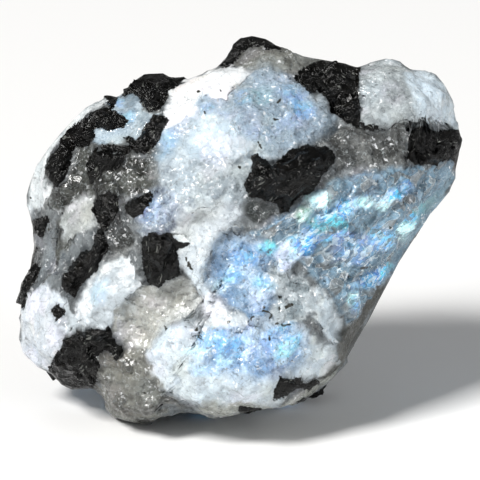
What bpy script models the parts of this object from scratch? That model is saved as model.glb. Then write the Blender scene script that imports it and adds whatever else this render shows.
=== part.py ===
"""Rough moonstone: one broken lump of feldspar with black tourmaline crystals grown into it.

The lump is drawn on its best face, in millimetres: x across the face, y up it and z out of it,
with the middle of the lump at zero. The face is then leant back, and the lump stands on a flat
break at its foot.
"""

import math

import bmesh
import bpy
import numpy as np
from mathutils import Matrix

MM = 0.001

# Driving dimensions of the lump, in millimetres and degrees.
FRONT_DEPTH = 17.5
BACK_DEPTH = 18.5
LEAN = 18.0
FOOT_LEVEL = -25.5
TRIANGLES = 9400
SPHERE_STEPS = 7

# The edge of the lump where it turns from its front to its back, seen square to the face.
OUTLINE = [
    (-7.9, 24.1), (-5.2, 25.3), (-3.4, 25.9), (-2.1, 27.4), (-1.1, 29.4), (0, 30.3), (1.8, 30.8),
    (3.9, 30.3), (6.1, 28.6), (9, 27.6), (13, 27), (15.8, 26.6), (17.6, 25.8), (19.8, 26.8),
    (21.9, 27.4), (24, 26.8), (25.6, 25.6), (27.8, 25.6), (29.5, 24.9), (30.9, 23.2), (32.1, 20.7),
    (33, 16.9), (33.6, 15), (33, 13), (32.4, 10.5), (32.5, 9.2), (31.5, 7.2), (28.5, 3.8), (26.1, 0),
    (24, -3.3), (21.9, -7.2), (19.5, -11.7), (17.4, -15.3), (16.1, -17.6), (16.2, -18.4),
    (14.8, -19.9), (12.8, -21.6), (9.2, -24.1), (6.1, -25.1), (4.2, -24.8), (1.2, -25.6),
    (-1.8, -25.6), (-4, -26.6), (-6, -25.6), (-8.5, -25.2), (-10.8, -25.5), (-12.2, -25.1),
    (-12.3, -26.4), (-13.3, -27.6), (-15.8, -27.4), (-18.8, -26.6), (-20.1, -25.5), (-20.4, -24),
    (-21.6, -22.3), (-22.5, -22.2), (-25.3, -22.6), (-26.8, -21.9), (-28.2, -20.2), (-30.4, -19.2),
    (-32.7, -16.9), (-33.4, -14.7), (-33, -12.8), (-33.4, -11.7), (-32.4, -9.9), (-34, -9.4),
    (-33.3, -7.8), (-33.1, -6.5), (-31.5, -4.2), (-31, -1.2), (-31, 2.2), (-32.1, 5.2), (-32.2, 6.8),
    (-31.5, 9), (-30.6, 11.2), (-28.5, 14.2), (-25.9, 17.2), (-23.2, 19.9), (-20.4, 21.4),
    (-20.6, 21.9), (-19.6, 21.9), (-18.3, 21.3), (-17.4, 21.6), (-17.6, 22.8), (-16.5, 23.1),
    (-15.6, 24.1), (-14.4, 25.1), (-11.5, 25.2), (-10.5, 24.4), (-8.4, 24.6)
]

# Flat breaks that bound the front and the back: the way each one falls off, how steeply, and how
# far from the middle it starts.
FRONT_BREAKS = [(118, 21, 8), (62, 25, 11), (12, 15, 13), (-31, 48, 20), (-88, 18, 12),
                (-140, 18, 14), (172, 21, 12)]
BACK_BREAKS = [(20, 22, 8), (78, 31, 9), (137, 21, 5), (190, 32, 14), (-112, 5, 3),
               (-62, 11, 9), (-24, 30, 17)]
LEAST_DEPTH = 8.0

# How square the section through the rim is: 2 would be round, and the foot is nearly a corner.
ROUND_RIM = 3.4
SQUARE_FOOT = 9.0
FOOT_DIRECTION = -95.0
FOOT_SPREAD = 42.0

# The rim wanders in and out of the plane of the face by this much, twice and three times a turn.
RIM_WANDER = 2.5
RIM_WANDER_TURN = 280.0
RIM_TWIST = 1.5
RIM_TWIST_TURN = 15.0

# The small corners of the outline die out within this distance of the rim.
RIM_DETAIL = 5.0
WALL_INSET = 0.5

# The walls behind the rim are drawn round the outline in this many steps: a dip in the outline
# is widened by some of them, and then smoothed over more.
RIM_STEPS = 720
DIP_STEPS = 10
SMOOTH_STEPS = 24

# A ray that passes this near the end of a side of the outline still meets it.
CORNER = 1e-6

# Relief fades in between the rim and these shares of the height of the front or the back.
RELIEF_FADE = 0.45
GRAIN_FADE = 0.35
RIM_CHIPPING = 0.25

# The wall is what lies behind the rim and past this share of the way out to it.
WALL_START = 0.72

# Masses of feldspar that stand proud of the face, or lie sunk in it: rise, shoulder, outline.
MASSES = {
    "milky_dome": (2.6, 4.0, [
        (-11.2, 16.8), (-10.7, 21), (-9, 22.5), (-5.2, 24.6), (-1.5, 25.2), (1.5, 25.5), (5.2, 24.6),
        (7.8, 23.1), (9.8, 21.6), (11.7, 21.4), (13.9, 18.4), (12.3, 16.1), (9, 13.8), (6.5, 12.6),
        (4.5, 11.2), (2.4, 12.8), (1.5, 10.5), (0.6, 7.5), (-0.8, 5.2), (-5.2, 3.9), (-7.5, 2.7),
        (-9.8, 1.2), (-13.8, 0.6), (-15, 1.8), (-15.1, 3.9), (-14.1, 5.5), (-12.4, 7.2), (-12.6, 10.5),
        (-12.3, 13.5)
    ]),
    "right_block": (2.0, 2.5, [
        (17.8, 25.6), (19.8, 26.8), (21.9, 27.4), (24, 26.8), (25.6, 25.6), (27.8, 25.6), (29.5, 24.9),
        (30.9, 23.2), (32.1, 20.7), (33.1, 16.3), (30, 16.5), (28.2, 16.3), (25.8, 16.8), (24.8, 15.9),
        (21.6, 16.3), (19.8, 17.1), (17.8, 17.2), (17.6, 22.2)
    ]),
    "smoky_band": (-1.3, 2.0, [
        (13.8, 18.9), (17.8, 17.2), (21.6, 16.3), (24.8, 15.8), (25.3, 14.1), (24.8, 12.3),
        (25.8, 11.1), (21.8, 10.8), (16.5, 10.2), (14.7, 9), (12.3, 9.9), (13.9, 11.5), (13.7, 12.9),
        (12.8, 13.9), (9, 13.8), (11.7, 15.8)
    ]),
    "blue_bowl": (-1.1, 3.0, [
        (-3.8, -0.8), (-0.8, 0.6), (3.3, 0), (7.5, -3.3), (9, -6.8), (6.8, -9.8), (3.3, -12.8),
        (0.8, -12.8), (-2.7, -9.8), (-4.2, -6), (-4.8, -3.3)
    ]),
    "white_collar": (0.9, 2.0, [
        (-9, 0), (-3.8, 2.2), (0, 1.8), (-3.8, -0.8), (-4.8, -3.3), (-4.2, -6.8), (-2.7, -10.2),
        (0.8, -13), (-1.8, -13.8), (-4.8, -12.9), (-7, -9), (-7.8, -6), (-9, -3.3)
    ]),
    "lower_mass": (2.4, 3.0, [
        (-13.5, -15.8), (-11.2, -12), (-7.5, -9.8), (-4.8, -13), (-1.2, -13.8), (3.3, -13.2),
        (6.8, -10.2), (9.8, -13.5), (13.5, -15.8), (13.8, -18.8), (11.7, -20.7), (6.1, -20.2),
        (5.4, -23.7), (0, -24.6), (-5.2, -24.8), (-8.2, -24.3), (-11.2, -23.2), (-13.5, -20.2),
        (-14.2, -17.7)
    ]),
    "right_knob": (1.3, 1.5, [
        (9.8, -7.2), (11.7, -6.5), (13.5, -9), (15.1, -11.7), (14.7, -14.2), (13.5, -15.1),
        (11.7, -12.9), (10.5, -10.8), (9.8, -9)
    ]),
    "left_smoky": (-1.2, 2.0, [
        (-26.1, 9.2), (-24.9, 13.9), (-22.5, 14.2), (-21, 13), (-16.5, 12.8), (-13.5, 13),
        (-12.3, 13.5), (-12.6, 7.5), (-15.3, 6.3), (-16.9, 5.2), (-18.3, 4.2), (-19.5, 1.2),
        (-21, 1.8), (-21.4, -0.4), (-26.2, -4.8), (-29.2, -7.5), (-28.5, -3.3), (-27.8, 0.8),
        (-27, 3.8), (-30, 5.2), (-27.9, 7.5)
    ]),
    "pale_tooth": (1.0, 0.8, [
        (-26.7, 3.4), (-24.8, 6), (-22.8, 7.5), (-21.3, 6), (-21.9, 4.6), (-21.3, 2.7), (-22.5, 1.2),
        (-23.7, 0.3), (-24.6, -0.9), (-25.8, 0.3)
    ]),
    "left_rim": (-1.4, 1.5, [
        (-31.9, 7.5), (-30.6, 11.2), (-28.5, 14.2), (-25.9, 17.2), (-23.2, 19.9), (-20.4, 21.4),
        (-19.2, 19.6), (-22.1, 18.8), (-24.4, 17.2), (-27.4, 13.5), (-28.5, 11.7), (-28.8, 9.8),
        (-27.9, 7.5), (-30, 5.2), (-31, 4.2), (-32.1, 5.2)
    ]),
    "white_tongue": (1.9, 2.0, [
        (-26.7, -12.3), (-25.2, -9.4), (-23.4, -7.2), (-21.3, -4.8), (-19.8, -2.7), (-18, -2.1),
        (-15.9, -2.5), (-13.9, -6.9), (-14.1, -8.2), (-15.8, -9.8), (-18, -11.2), (-19.2, -13),
        (-20.4, -13.5), (-24, -13.9), (-26.1, -14.7)
    ]),
    "lower_left_lump": (0.9, 2.0, [
        (-33.4, -14.7), (-33, -12.8), (-33.4, -11.7), (-32.4, -9.9), (-30.3, -7.5), (-28.8, -6.9),
        (-27, -8.7), (-25.5, -9.4), (-26.4, -11.2), (-26.7, -12.8), (-24.8, -13.9), (-26.1, -15.3),
        (-27.6, -17.4), (-28.3, -19.2), (-30.4, -19.2), (-32.7, -16.9)
    ]),
    "brown_pocket": (-1.5, 1.8, [
        (-13.9, -6.9), (-12, -6.9), (-9, -5.5), (-7.5, -6.5), (-6.8, -9), (-8.5, -10.2),
        (-11.2, -12.3), (-13.5, -15.8), (-15, -15.8), (-17.4, -15.8), (-19.2, -13.2), (-17.7, -11.1),
        (-15.6, -9.6)
    ]),
}

# The broken steps of the feldspar's cleavage at the right: outline, and the steps' own measures.
LEDGES = [
    (7.3, 4.2), (10, 6.8), (15, 9), (21.8, 10.8), (29.4, 11.4), (31.6, 12.2), (32.5, 9.2), (31.8, 7.2),
    (28.5, 3.3), (26.2, 0), (24, -3.3), (22.8, -5.7), (20.2, -7.5), (18.3, -11.2), (15.8, -12.3),
    (13.5, -9), (11.7, -6.8), (9, -3.3), (4.5, -0.8), (1.5, 1.2), (4.5, 2.7)
]
LEDGE_DIRECTION = 128.0
LEDGE_WIDTH = 2.6
LEDGE_RISE = 1.0
LEDGE_DROP = 0.3
LEDGE_SWAY = 0.25
LEDGE_WAVES = (3.1, 2.3)
LEDGE_FADE = 1.5

# Black tourmaline crystals on the face: rise, slope of their sides, outline.
CRYSTALS = {
    "top_left_knob": (1.8, 1.5, [
        (-17.4, 21.6), (-17.6, 22.8), (-16.5, 23.1), (-15.6, 24.1), (-14.4, 25.1), (-11.5, 25.2),
        (-10.5, 24.4), (-8.4, 24.8), (-7.9, 24.1), (-9.3, 23.1), (-10.7, 22.2), (-11.1, 20.7),
        (-11.7, 19.5), (-13.5, 19.2), (-14.5, 20.2), (-15.6, 22.1), (-16.5, 21.9)
    ]),
    "hook": (1.5, 1.3, [
        (-20.2, 19.6), (-18.6, 19.1), (-16.8, 17.8), (-17.2, 16.8), (-19.9, 16.6), (-21.8, 16.5),
        (-21.6, 15.3), (-22.5, 14.2), (-24.9, 13.9), (-25.2, 12.3), (-26.1, 9.2), (-27.9, 7.5),
        (-28.8, 9.8), (-28.5, 11.7), (-27.4, 13.5), (-25.9, 15.6), (-24.4, 17.2), (-22.1, 18.8)
    ]),
    "jagged_wedge": (1.0, 1.3, [
        (-12.8, 18.4), (-10.9, 18), (-11.5, 16.3), (-12.3, 14.5), (-13.5, 13), (-15.3, 13),
        (-16.3, 14.2), (-17.1, 15.1), (-16.6, 15.4), (-15.4, 14.8), (-14.2, 16.3), (-13.9, 17.2),
        (-13, 17.7)
    ]),
    "dark_core": (0.6, 0.8, [
        (-21.6, 13), (-19.8, 12.9), (-17.1, 12.8), (-17.4, 11.1), (-18.6, 10.5), (-20.1, 10.5),
        (-21, 9.3), (-22.2, 8.4), (-22.6, 9.6), (-22.5, 11.5)
    ]),
    "oval": (1.2, 1.2, [
        (-19.5, 7.2), (-18.4, 6.5), (-18.1, 4.8), (-18.9, 3), (-20.1, 1.2), (-20.8, 2.1), (-21.3, 3.3),
        (-21.9, 4.6), (-21.1, 6.1)
    ]),
    "small_wedge": (0.6, 1.0, [
        (-16.9, 5.4), (-15.4, 6.3), (-13.8, 6.9), (-12.2, 7.2), (-13.2, 6.3), (-14.1, 5.1),
        (-14.8, 3.9), (-15.9, 3.3), (-16.8, 4)
    ]),
    "long_bar": (1.6, 1.4, [
        (-21, 1.8), (-21.4, -0.4), (-22.2, -1.3), (-23.7, -2.2), (-25.1, -3.6), (-26.2, -4.8),
        (-26.6, -6.1), (-25.9, -7.6), (-24.6, -8.4), (-24, -7.2), (-23.4, -6.1), (-21.8, -4.8),
        (-20.7, -3.3), (-19.9, -1.5), (-19.8, 0.3)
    ]),
    "centre_knob": (1.9, 1.6, [
        (-13.9, 0.4), (-12.8, 1.1), (-11.5, 0.8), (-10.2, 0.9), (-9.4, -0.3), (-7.3, -0.4),
        (-8.1, -1.1), (-9.4, -1.5), (-9.3, -3.3), (-9, -5.2), (-10.5, -5.8), (-12, -6.8),
        (-13.3, -6.5), (-14.2, -4.2), (-14.4, -1.5)
    ]),
    "bottom_lump": (2.4, 1.6, [
        (-21.1, -13.2), (-20.4, -13.5), (-19.5, -13), (-18.9, -14.4), (-18.1, -15.3), (-17.7, -16.3),
        (-18.3, -17.7), (-19.1, -16.9), (-19.9, -16.2), (-20.8, -16.5), (-21.6, -17.1), (-20.8, -18.3),
        (-21.3, -19.5), (-21.6, -21.1), (-22.2, -22.2), (-25.3, -22.6), (-26.8, -21.9), (-27.6, -20.6),
        (-28.2, -19.9), (-28.3, -18.9), (-27.4, -17.2), (-25.9, -15.1), (-24, -13.9)
    ]),
    "left_tail": (0.8, 1.0, [
        (-34.2, -9.4), (-32.5, -7.9), (-33.3, -6.6), (-31.5, -4.3), (-30.6, -3.3), (-30, -4.8),
        (-30.9, -6.3), (-31.8, -7.8), (-32.7, -10.2)
    ]),
    "rim_spot": (0.6, 1.0, [
        (-31, 2.7), (-30.1, 3.3), (-28.9, 3.4), (-29.1, 1.8), (-29.5, 0.4), (-30.4, 0.8), (-31, 1.5)
    ]),
    "big_crystal": (3.6, 1.8, [
        (1.6, 12.3), (2.5, 12.9), (3.8, 11.8), (4.8, 10.9), (6.8, 12.4), (8.7, 13.7), (10.9, 13.9),
        (12.8, 13.9), (13.7, 12.9), (13.9, 11.5), (12.4, 10), (11.4, 8.4), (10, 7), (8.1, 5.8),
        (7.3, 4.2), (6.1, 4.2), (5.5, 5.8), (3.3, 6.1), (1.3, 6.5), (0.9, 8.4), (1.8, 10.2)
    ]),
    "summit_cap": (1.1, 1.2, [
        (-3.4, 25.9), (-2.1, 27.6), (-1.1, 29.4), (0, 30.3), (1.8, 30.8), (3.9, 30.3), (6.1, 28.6),
        (4.8, 29.1), (3.3, 29.5), (1.5, 29.5), (0.3, 28.8), (-1.1, 27.6), (-2.4, 26.4)
    ]),
    "saddle_black": (1.1, 1.0, [
        (8.1, 24.1), (9.4, 25.8), (13, 26.8), (16.1, 26.6), (17.8, 25.6), (17.6, 24), (17.4, 22.2),
        (17.8, 19.9), (17.8, 17.2), (19.5, 17.1), (21.6, 16.3), (18.9, 16.5), (15.8, 17.4),
        (13.8, 19.1), (12.9, 21.4), (11.4, 22.2), (10.3, 21.9), (9.3, 22.8)
    ]),
    "right_black": (1.9, 1.5, [
        (25.2, 16.6), (26.6, 16.9), (28.2, 16.3), (29.5, 15.8), (30.3, 16.5), (32.5, 16.3), (33.6, 15),
        (33, 13), (32.4, 10.5), (31.6, 12.2), (30.6, 12), (29.4, 11.4), (27.8, 11.4), (26.1, 11.2),
        (24.8, 12.3), (25.3, 14.1)
    ]),
    "bottom_flake": (0.4, 1.0, [
        (5.1, -23.7), (5.4, -21.9), (6.1, -20.2), (6.9, -20.8), (7.9, -20.7), (9, -20.1), (8.8, -21.6),
        (10.2, -21.3), (11.5, -20.7), (11.7, -21.3), (9.9, -22.1), (8.7, -21.9), (6.9, -22.6)
    ]),
}

# Black crystals on the back, each a bar: middle across and up, length, width and turn.
BACK_BARS = [(-14, 11, 12, 5, 35), (-3, 17, 7, 4.5, -20), (10, 13, 13, 4, 12), (22, 12, 6, 6, 60),
             (-24, -3, 9, 4, 80), (-9, -2, 8, 6.5, 20), (3, 2, 5, 3, 75), (14, -2, 10, 4.5, -48),
             (-18, -14, 11, 5, -15), (-2, -15, 9, 4, 50), (9, -14, 6, 5, 5)]
BACK_BAR_RISE = 1.3

# Black crystals on the wall round the rim: direction from the middle, depth, length, width, turn.
WALL_BARS = [(-68, -9, 10, 4, 20), (-12, -7, 9, 5, 70), (28, -9, 11, 4.5, 15), (72, -8, 8, 5, -30),
             (108, -9, 10, 4, 50), (150, -9, 12, 5, -10), (188, -10, 8, 5, 65), (-150, -9, 11, 4.5, 30),
             (-38, -12, 7, 3.5, -60)]
WALL_BAR_RISE = 1.2
BAR_SLOPE = 1.3

# Grains of the rock, as low domes over the whole surface: size, height, tilt and dome.
GRAIN_SIZE = 8.0
GRAIN_HEIGHT = 1.3
GRAIN_TILT = 0.16
GRAIN_DOME = 0.05
GRAIN_SEED = 11

# The broken surface is made of nearly flat chips: their size, and how flat each one is.
CHIP_SIZES = [(5.5, 0.75), (2.8, 0.6)]

MOONSTONE_COLOUR = (0.72, 0.77, 0.84, 1)
TOURMALINE_COLOUR = (0.012, 0.012, 0.014, 1)


def smooth_step(value):
    """0 below 0, 1 above 1, and a smooth rise between them."""
    value = np.clip(value, 0, 1)
    return value * value * (3 - 2 * value)


def depth_inside(points, outline):
    """How far each point lies inside a closed outline; outside it is negative."""
    starts = np.array(outline, float)
    ends = np.roll(starts, -1, axis=0)
    distance = np.full(len(points), np.inf)
    inside = np.zeros(len(points), bool)
    for start, end in zip(starts, ends):
        side = end - start
        away = points - start
        share = np.clip(away @ side / (side @ side), 0, 1)
        distance = np.minimum(distance, np.linalg.norm(away - share[:, None] * side, axis=1))
        if side[1] != 0:
            spans = (start[1] > points[:, 1]) != (end[1] > points[:, 1])
            crossing = start[0] + side[0] * (points[:, 1] - start[1]) / side[1]
            inside ^= spans & (points[:, 0] < crossing)
    return np.where(inside, distance, -distance)


def depth_in_bar(across, up, length, width, turn):
    """How far each point lies inside a bar centred on zero; outside it is negative."""
    cosine, sine = math.cos(math.radians(turn)), math.sin(math.radians(turn))
    past_end = np.abs(across * cosine + up * sine) - length / 2
    past_side = np.abs(up * cosine - across * sine) - width / 2
    outside = np.hypot(np.maximum(past_end, 0), np.maximum(past_side, 0))
    return -(outside + np.minimum(np.maximum(past_end, past_side), 0))


def outline_reach(angles):
    """How far the outline is from the middle, in each direction."""
    starts = np.array(OUTLINE, float)
    ends = np.roll(starts, -1, axis=0)
    ray = np.stack([np.cos(angles), np.sin(angles)], axis=1)
    reach = np.zeros(len(angles))
    for start, side in zip(starts, ends - starts):
        turn = ray[:, 0] * side[1] - ray[:, 1] * side[0]
        turn = np.where(np.abs(turn) < 1e-9, 1e-9, turn)
        distance = (start[0] * side[1] - start[1] * side[0]) / turn
        share = (start[0] * ray[:, 1] - start[1] * ray[:, 0]) / turn
        met = (share >= -CORNER) & (share <= 1 + CORNER) & (distance > 0)
        reach = np.where(met, np.maximum(reach, distance), reach)
    return reach


def wall_reach(angles):
    """The outline without its small corners, kept inside it, for the walls away from the rim."""
    grid = np.arange(RIM_STEPS) * 2 * math.pi / RIM_STEPS
    reach = outline_reach(grid)
    near = range(-DIP_STEPS, DIP_STEPS + 1)
    least = np.min([np.roll(reach, step) for step in near], axis=0)
    weights = np.hanning(2 * SMOOTH_STEPS + 3)[1:-1]
    around = range(-SMOOTH_STEPS, SMOOTH_STEPS + 1)
    smooth = sum(weight * np.roll(least, step) for step, weight in zip(around, weights))
    return np.interp(angles, grid, smooth / weights.sum() - WALL_INSET, period=2 * math.pi)


def broken_depth(points, depth, breaks):
    """The depth of a face under its flat breaks."""
    lowest = np.full(len(points), float(depth))
    for direction, slope, start in breaks:
        turn = math.radians(direction)
        away = points @ np.array([math.cos(turn), math.sin(turn)])
        lowest = np.minimum(lowest, depth - math.tan(math.radians(slope)) * (away - start))
    return np.maximum(lowest, LEAST_DEPTH)


def near_foot(angles):
    """1 straight down at the foot, falling to 0 round to either side."""
    from_foot = np.angle(np.exp(1j * (angles - math.radians(FOOT_DIRECTION))))
    return np.exp(-((from_foot / math.radians(FOOT_SPREAD)) ** 2))


def lump_points(directions):
    """The plain broken lump: each direction from the middle moved out to its surface."""
    across, up, out = directions.T
    angles = np.arctan2(up, across)
    foot = near_foot(angles)
    power = ROUND_RIM + (SQUARE_FOOT - ROUND_RIM) * foot
    flat, deep = np.hypot(across, up), np.abs(out)
    scale = (flat**power + deep**power) ** (-1 / power)
    share, height = flat * scale, deep * scale
    blend = smooth_step(height * FRONT_DEPTH / RIM_DETAIL) * (1 - foot)
    reach = outline_reach(angles) * (1 - blend) + wall_reach(angles) * blend
    face = np.stack([reach * share * np.cos(angles), reach * share * np.sin(angles)], axis=1)
    front = broken_depth(face, FRONT_DEPTH, FRONT_BREAKS)
    back = broken_depth(face, BACK_DEPTH, BACK_BREAKS)
    rim = RIM_WANDER * np.sin(2 * angles + math.radians(RIM_WANDER_TURN))
    rim += RIM_TWIST * np.sin(3 * angles + math.radians(RIM_TWIST_TURN))
    depth = rim * share**2 + height * np.where(out >= 0, front, -back)
    return np.column_stack([face, depth]), angles, height * np.sign(out)


def ledge_height(face):
    """The saw-tooth of the cleavage steps."""
    turn = math.radians(LEDGE_DIRECTION)
    along = face @ np.array([math.cos(turn), math.sin(turn)])
    sway = np.sin(face[:, 0] / LEDGE_WAVES[0]) + np.cos(face[:, 1] / LEDGE_WAVES[1])
    steps = np.mod(along / LEDGE_WIDTH + LEDGE_SWAY * sway, 1)
    tooth = np.minimum(steps / (1 - LEDGE_DROP), (1 - steps) / LEDGE_DROP)
    return LEDGE_RISE * (tooth - 0.5) * np.clip(depth_inside(face, LEDGES) / LEDGE_FADE, 0, 1)


def mass_relief(face):
    """The height of the masses of the front."""
    height = np.zeros(len(face))
    for rise, shoulder, outline in MASSES.values():
        inset = 1 - np.clip(depth_inside(face, outline) / shoulder, 0, 1)
        height += rise * np.sqrt(1 - inset**2)
    return height


def crystal_relief(face):
    """The height of the ledges and crystals of the front, and the depth inside a crystal."""
    height = ledge_height(face)
    black = np.full(len(face), -np.inf)
    for rise, slope, outline in CRYSTALS.values():
        depth = depth_inside(face, outline)
        height += np.clip(slope * depth, 0, rise)
        black = np.maximum(black, depth)
    return height, black


def bar_relief(across, up, bars, rise):
    """The height of a set of bars, and the depth inside one, at places across and up a surface."""
    height = np.zeros(len(across))
    black = np.full(len(across), -np.inf)
    for middle_across, middle_up, length, width, turn in bars:
        depth = depth_in_bar(across - middle_across, up - middle_up, length, width, turn)
        height = np.maximum(height, np.clip(BAR_SLOPE * depth, 0, rise))
        black = np.maximum(black, depth)
    return height, black


def wall_relief(points, angles):
    """The height of the crystals on the wall, which are set out round the rim and along the depth."""
    height = np.zeros(len(points))
    black = np.full(len(points), -np.inf)
    reach = outline_reach(angles)
    for direction, depth, length, width, turn in WALL_BARS:
        round_rim = np.angle(np.exp(1j * (angles - math.radians(direction)))) * reach
        bar = [(0, depth, length, width, turn)]
        rise, inside = bar_relief(round_rim, points[:, 2], bar, WALL_BAR_RISE)
        height = np.maximum(height, rise)
        black = np.maximum(black, inside)
    return height, black


def random_of(cells, count):
    """Random numbers from 0 to 1 for each cell of a grid, the same on every run."""
    mixed = cells @ np.array([73856093, 19349663, 83492791]) + GRAIN_SEED * 2654435761
    numbers = []
    for step in range(count):
        mixed = (mixed * 6364136223846793005 + 1442695040888963407 + step) & 0x7FFFFFFFFFFFFFFF
        numbers.append(((mixed >> 24) & 0xFFFFFF) / float(0x1000000))
    return np.stack(numbers, axis=-1)


def grain_height(points):
    """Low facets: the highest of the tilted domes round each point's nearest grains."""
    home = np.floor(points / GRAIN_SIZE).astype(np.int64)
    highest = np.full(len(points), -np.inf)
    for step in np.ndindex(3, 3, 3):
        cell = home + np.array(step) - 1
        drawn = random_of(cell, 7)
        away = points - (cell + drawn[:, :3]) * GRAIN_SIZE
        tilted = np.sum(away * (drawn[:, 3:6] - 0.5) * 2 * GRAIN_TILT, axis=1)
        domed = GRAIN_DOME * np.sum(away**2, axis=1)
        highest = np.maximum(highest, GRAIN_HEIGHT * drawn[:, 6] + tilted - domed)
    return highest


def nearest_grain(points, size):
    """A number for the nearest grain of this size to each point."""
    home = np.floor(points / size).astype(np.int64)
    chosen = home.copy()
    least = np.full(len(points), np.inf)
    for step in np.ndindex(3, 3, 3):
        cell = home + np.array(step) - 1
        distance = np.linalg.norm(points - (cell + random_of(cell, 3)) * size, axis=1)
        nearer = distance < least
        least = np.where(nearer, distance, least)
        chosen = np.where(nearer[:, None], cell, chosen)
    return np.unique(chosen, axis=0, return_inverse=True)[1].reshape(-1)


def mean_of(values, index):
    """The mean of each column over the rows that share an index, given back to every row."""
    count = np.bincount(index)
    return np.stack([np.bincount(index, column) / count for column in values.T], axis=1)[index]


def chip(points, normals, size, flatness):
    """Flattens the surface in chips of about this size."""
    index = nearest_grain(points, size)
    middle = mean_of(points, index)
    outward = mean_of(normals, index)
    outward /= np.linalg.norm(outward, axis=1)[:, None]
    off_plane = np.sum((points - middle) * outward, axis=1)
    return points - outward * (off_plane * flatness)[:, None]


def normals_of(mesh, points):
    """The outward normal at each vertex once the mesh takes these points."""
    mesh.vertices.foreach_set("co", points.astype(np.float32).ravel())
    mesh.update()
    normals = np.empty(len(points) * 3, np.float32)
    mesh.vertex_normals.foreach_get("vector", normals)
    return normals.reshape(-1, 3).astype(float)


def carve(mesh):
    """Turns a sphere's mesh into the lump, and returns how deep in a black crystal each vertex is."""
    directions = np.empty(len(mesh.vertices) * 3, np.float32)
    mesh.vertices.foreach_get("co", directions)
    directions = directions.reshape(-1, 3).astype(float)
    directions /= np.linalg.norm(directions, axis=1)[:, None]
    points, angles, height = lump_points(directions)

    calm = np.where(height < 0, near_foot(angles), 0)
    off_rim = smooth_step(np.abs(height) / GRAIN_FADE)
    in_front = smooth_step(height / RELIEF_FADE)
    points[:, 2] += mass_relief(points[:, :2]) * in_front
    grains = grain_height(points)
    points += normals_of(mesh, points) * ((grains - grains.mean()) * off_rim * (1 - calm))[:, None]
    for size, flatness in CHIP_SIZES:
        chipping = (RIM_CHIPPING + (1 - RIM_CHIPPING) * off_rim) * (1 - calm)
        points = chip(points, normals_of(mesh, points), size, flatness * chipping)

    normals = normals_of(mesh, points)
    on_wall = (np.hypot(*points[:, :2].T) > outline_reach(angles) * WALL_START) & (height < 0)
    front_rise, front_black = crystal_relief(points[:, :2])
    back_rise, back_black = bar_relief(points[:, 0], points[:, 1], BACK_BARS, BACK_BAR_RISE)
    wall_rise, wall_black = wall_relief(points, angles)
    points[:, 2] += front_rise * in_front
    at_back = np.where(on_wall, wall_rise, back_rise) * smooth_step(-height / RELIEF_FADE)
    points += normals * at_back[:, None]
    normals_of(mesh, points)
    return np.where(height > 0, front_black, np.where(on_wall, wall_black, back_black))


def stand(mesh):
    """Leans the face back and cuts the foot off flat, with its middle under the middle of the box."""
    shape = bmesh.new()
    shape.from_mesh(mesh)
    shape.transform(Matrix.Rotation(math.radians(90 - LEAN), 4, "X"))
    everything = shape.verts[:] + shape.edges[:] + shape.faces[:]
    cut = bmesh.ops.bisect_plane(shape, geom=everything, plane_co=(0, 0, FOOT_LEVEL),
                                 plane_no=(0, 0, 1), clear_inner=True)
    rim = [item for item in cut["geom_cut"] if isinstance(item, bmesh.types.BMEdge)]
    bmesh.ops.contextual_create(shape, geom=rim)
    corners = np.array([vertex.co for vertex in shape.verts])
    middle = (corners.min(axis=0) + corners.max(axis=0)) / 2
    shape.transform(Matrix.Translation((-middle[0], -middle[1], -FOOT_LEVEL)))
    shape.transform(Matrix.Scale(MM, 4))
    shape.to_mesh(mesh)
    shape.free()


def finish(name, colour, roughness):
    """A plain glossy mineral."""
    material = bpy.data.materials.new(name)
    material.use_nodes = True
    shader = material.node_tree.nodes["Principled BSDF"]
    shader.inputs["Base Color"].default_value = colour
    shader.inputs["Roughness"].default_value = roughness
    shader.inputs["Metallic"].default_value = 0.0
    return material


def fewer_triangles(lump):
    """The lump's mesh with its flat places simplified, down to the stated number of triangles."""
    thin = lump.modifiers.new("fewer_triangles", "DECIMATE")
    thin.ratio = TRIANGLES / len(lump.data.polygons)
    graph = bpy.context.evaluated_depsgraph_get()
    mesh = bpy.data.meshes.new_from_object(lump.evaluated_get(graph))
    lump.modifiers.clear()
    return mesh


def make_moonstone():
    """The whole stone, with its two minerals as two materials of one solid."""
    shape = bmesh.new()
    bmesh.ops.create_icosphere(shape, subdivisions=SPHERE_STEPS, radius=1)
    mesh = bpy.data.meshes.new("moonstone")
    shape.to_mesh(mesh)
    shape.free()
    black = carve(mesh)
    mesh.materials.append(finish("feldspar", MOONSTONE_COLOUR, 0.3))
    mesh.materials.append(finish("tourmaline", TOURMALINE_COLOUR, 0.35))
    for polygon in mesh.polygons:
        polygon.material_index = int(np.mean(black[list(polygon.vertices)]) > 0)
    lump = bpy.data.objects.new("moonstone", mesh)
    bpy.context.scene.collection.objects.link(lump)
    lump.data = fewer_triangles(lump)
    stand(lump.data)


for old in list(bpy.data.objects):
    bpy.data.objects.remove(old, do_unlink=True)
make_moonstone()
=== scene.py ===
"""The looks of the rough moonstone: its surface in full detail, its minerals, and a photo table."""

import math

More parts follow.
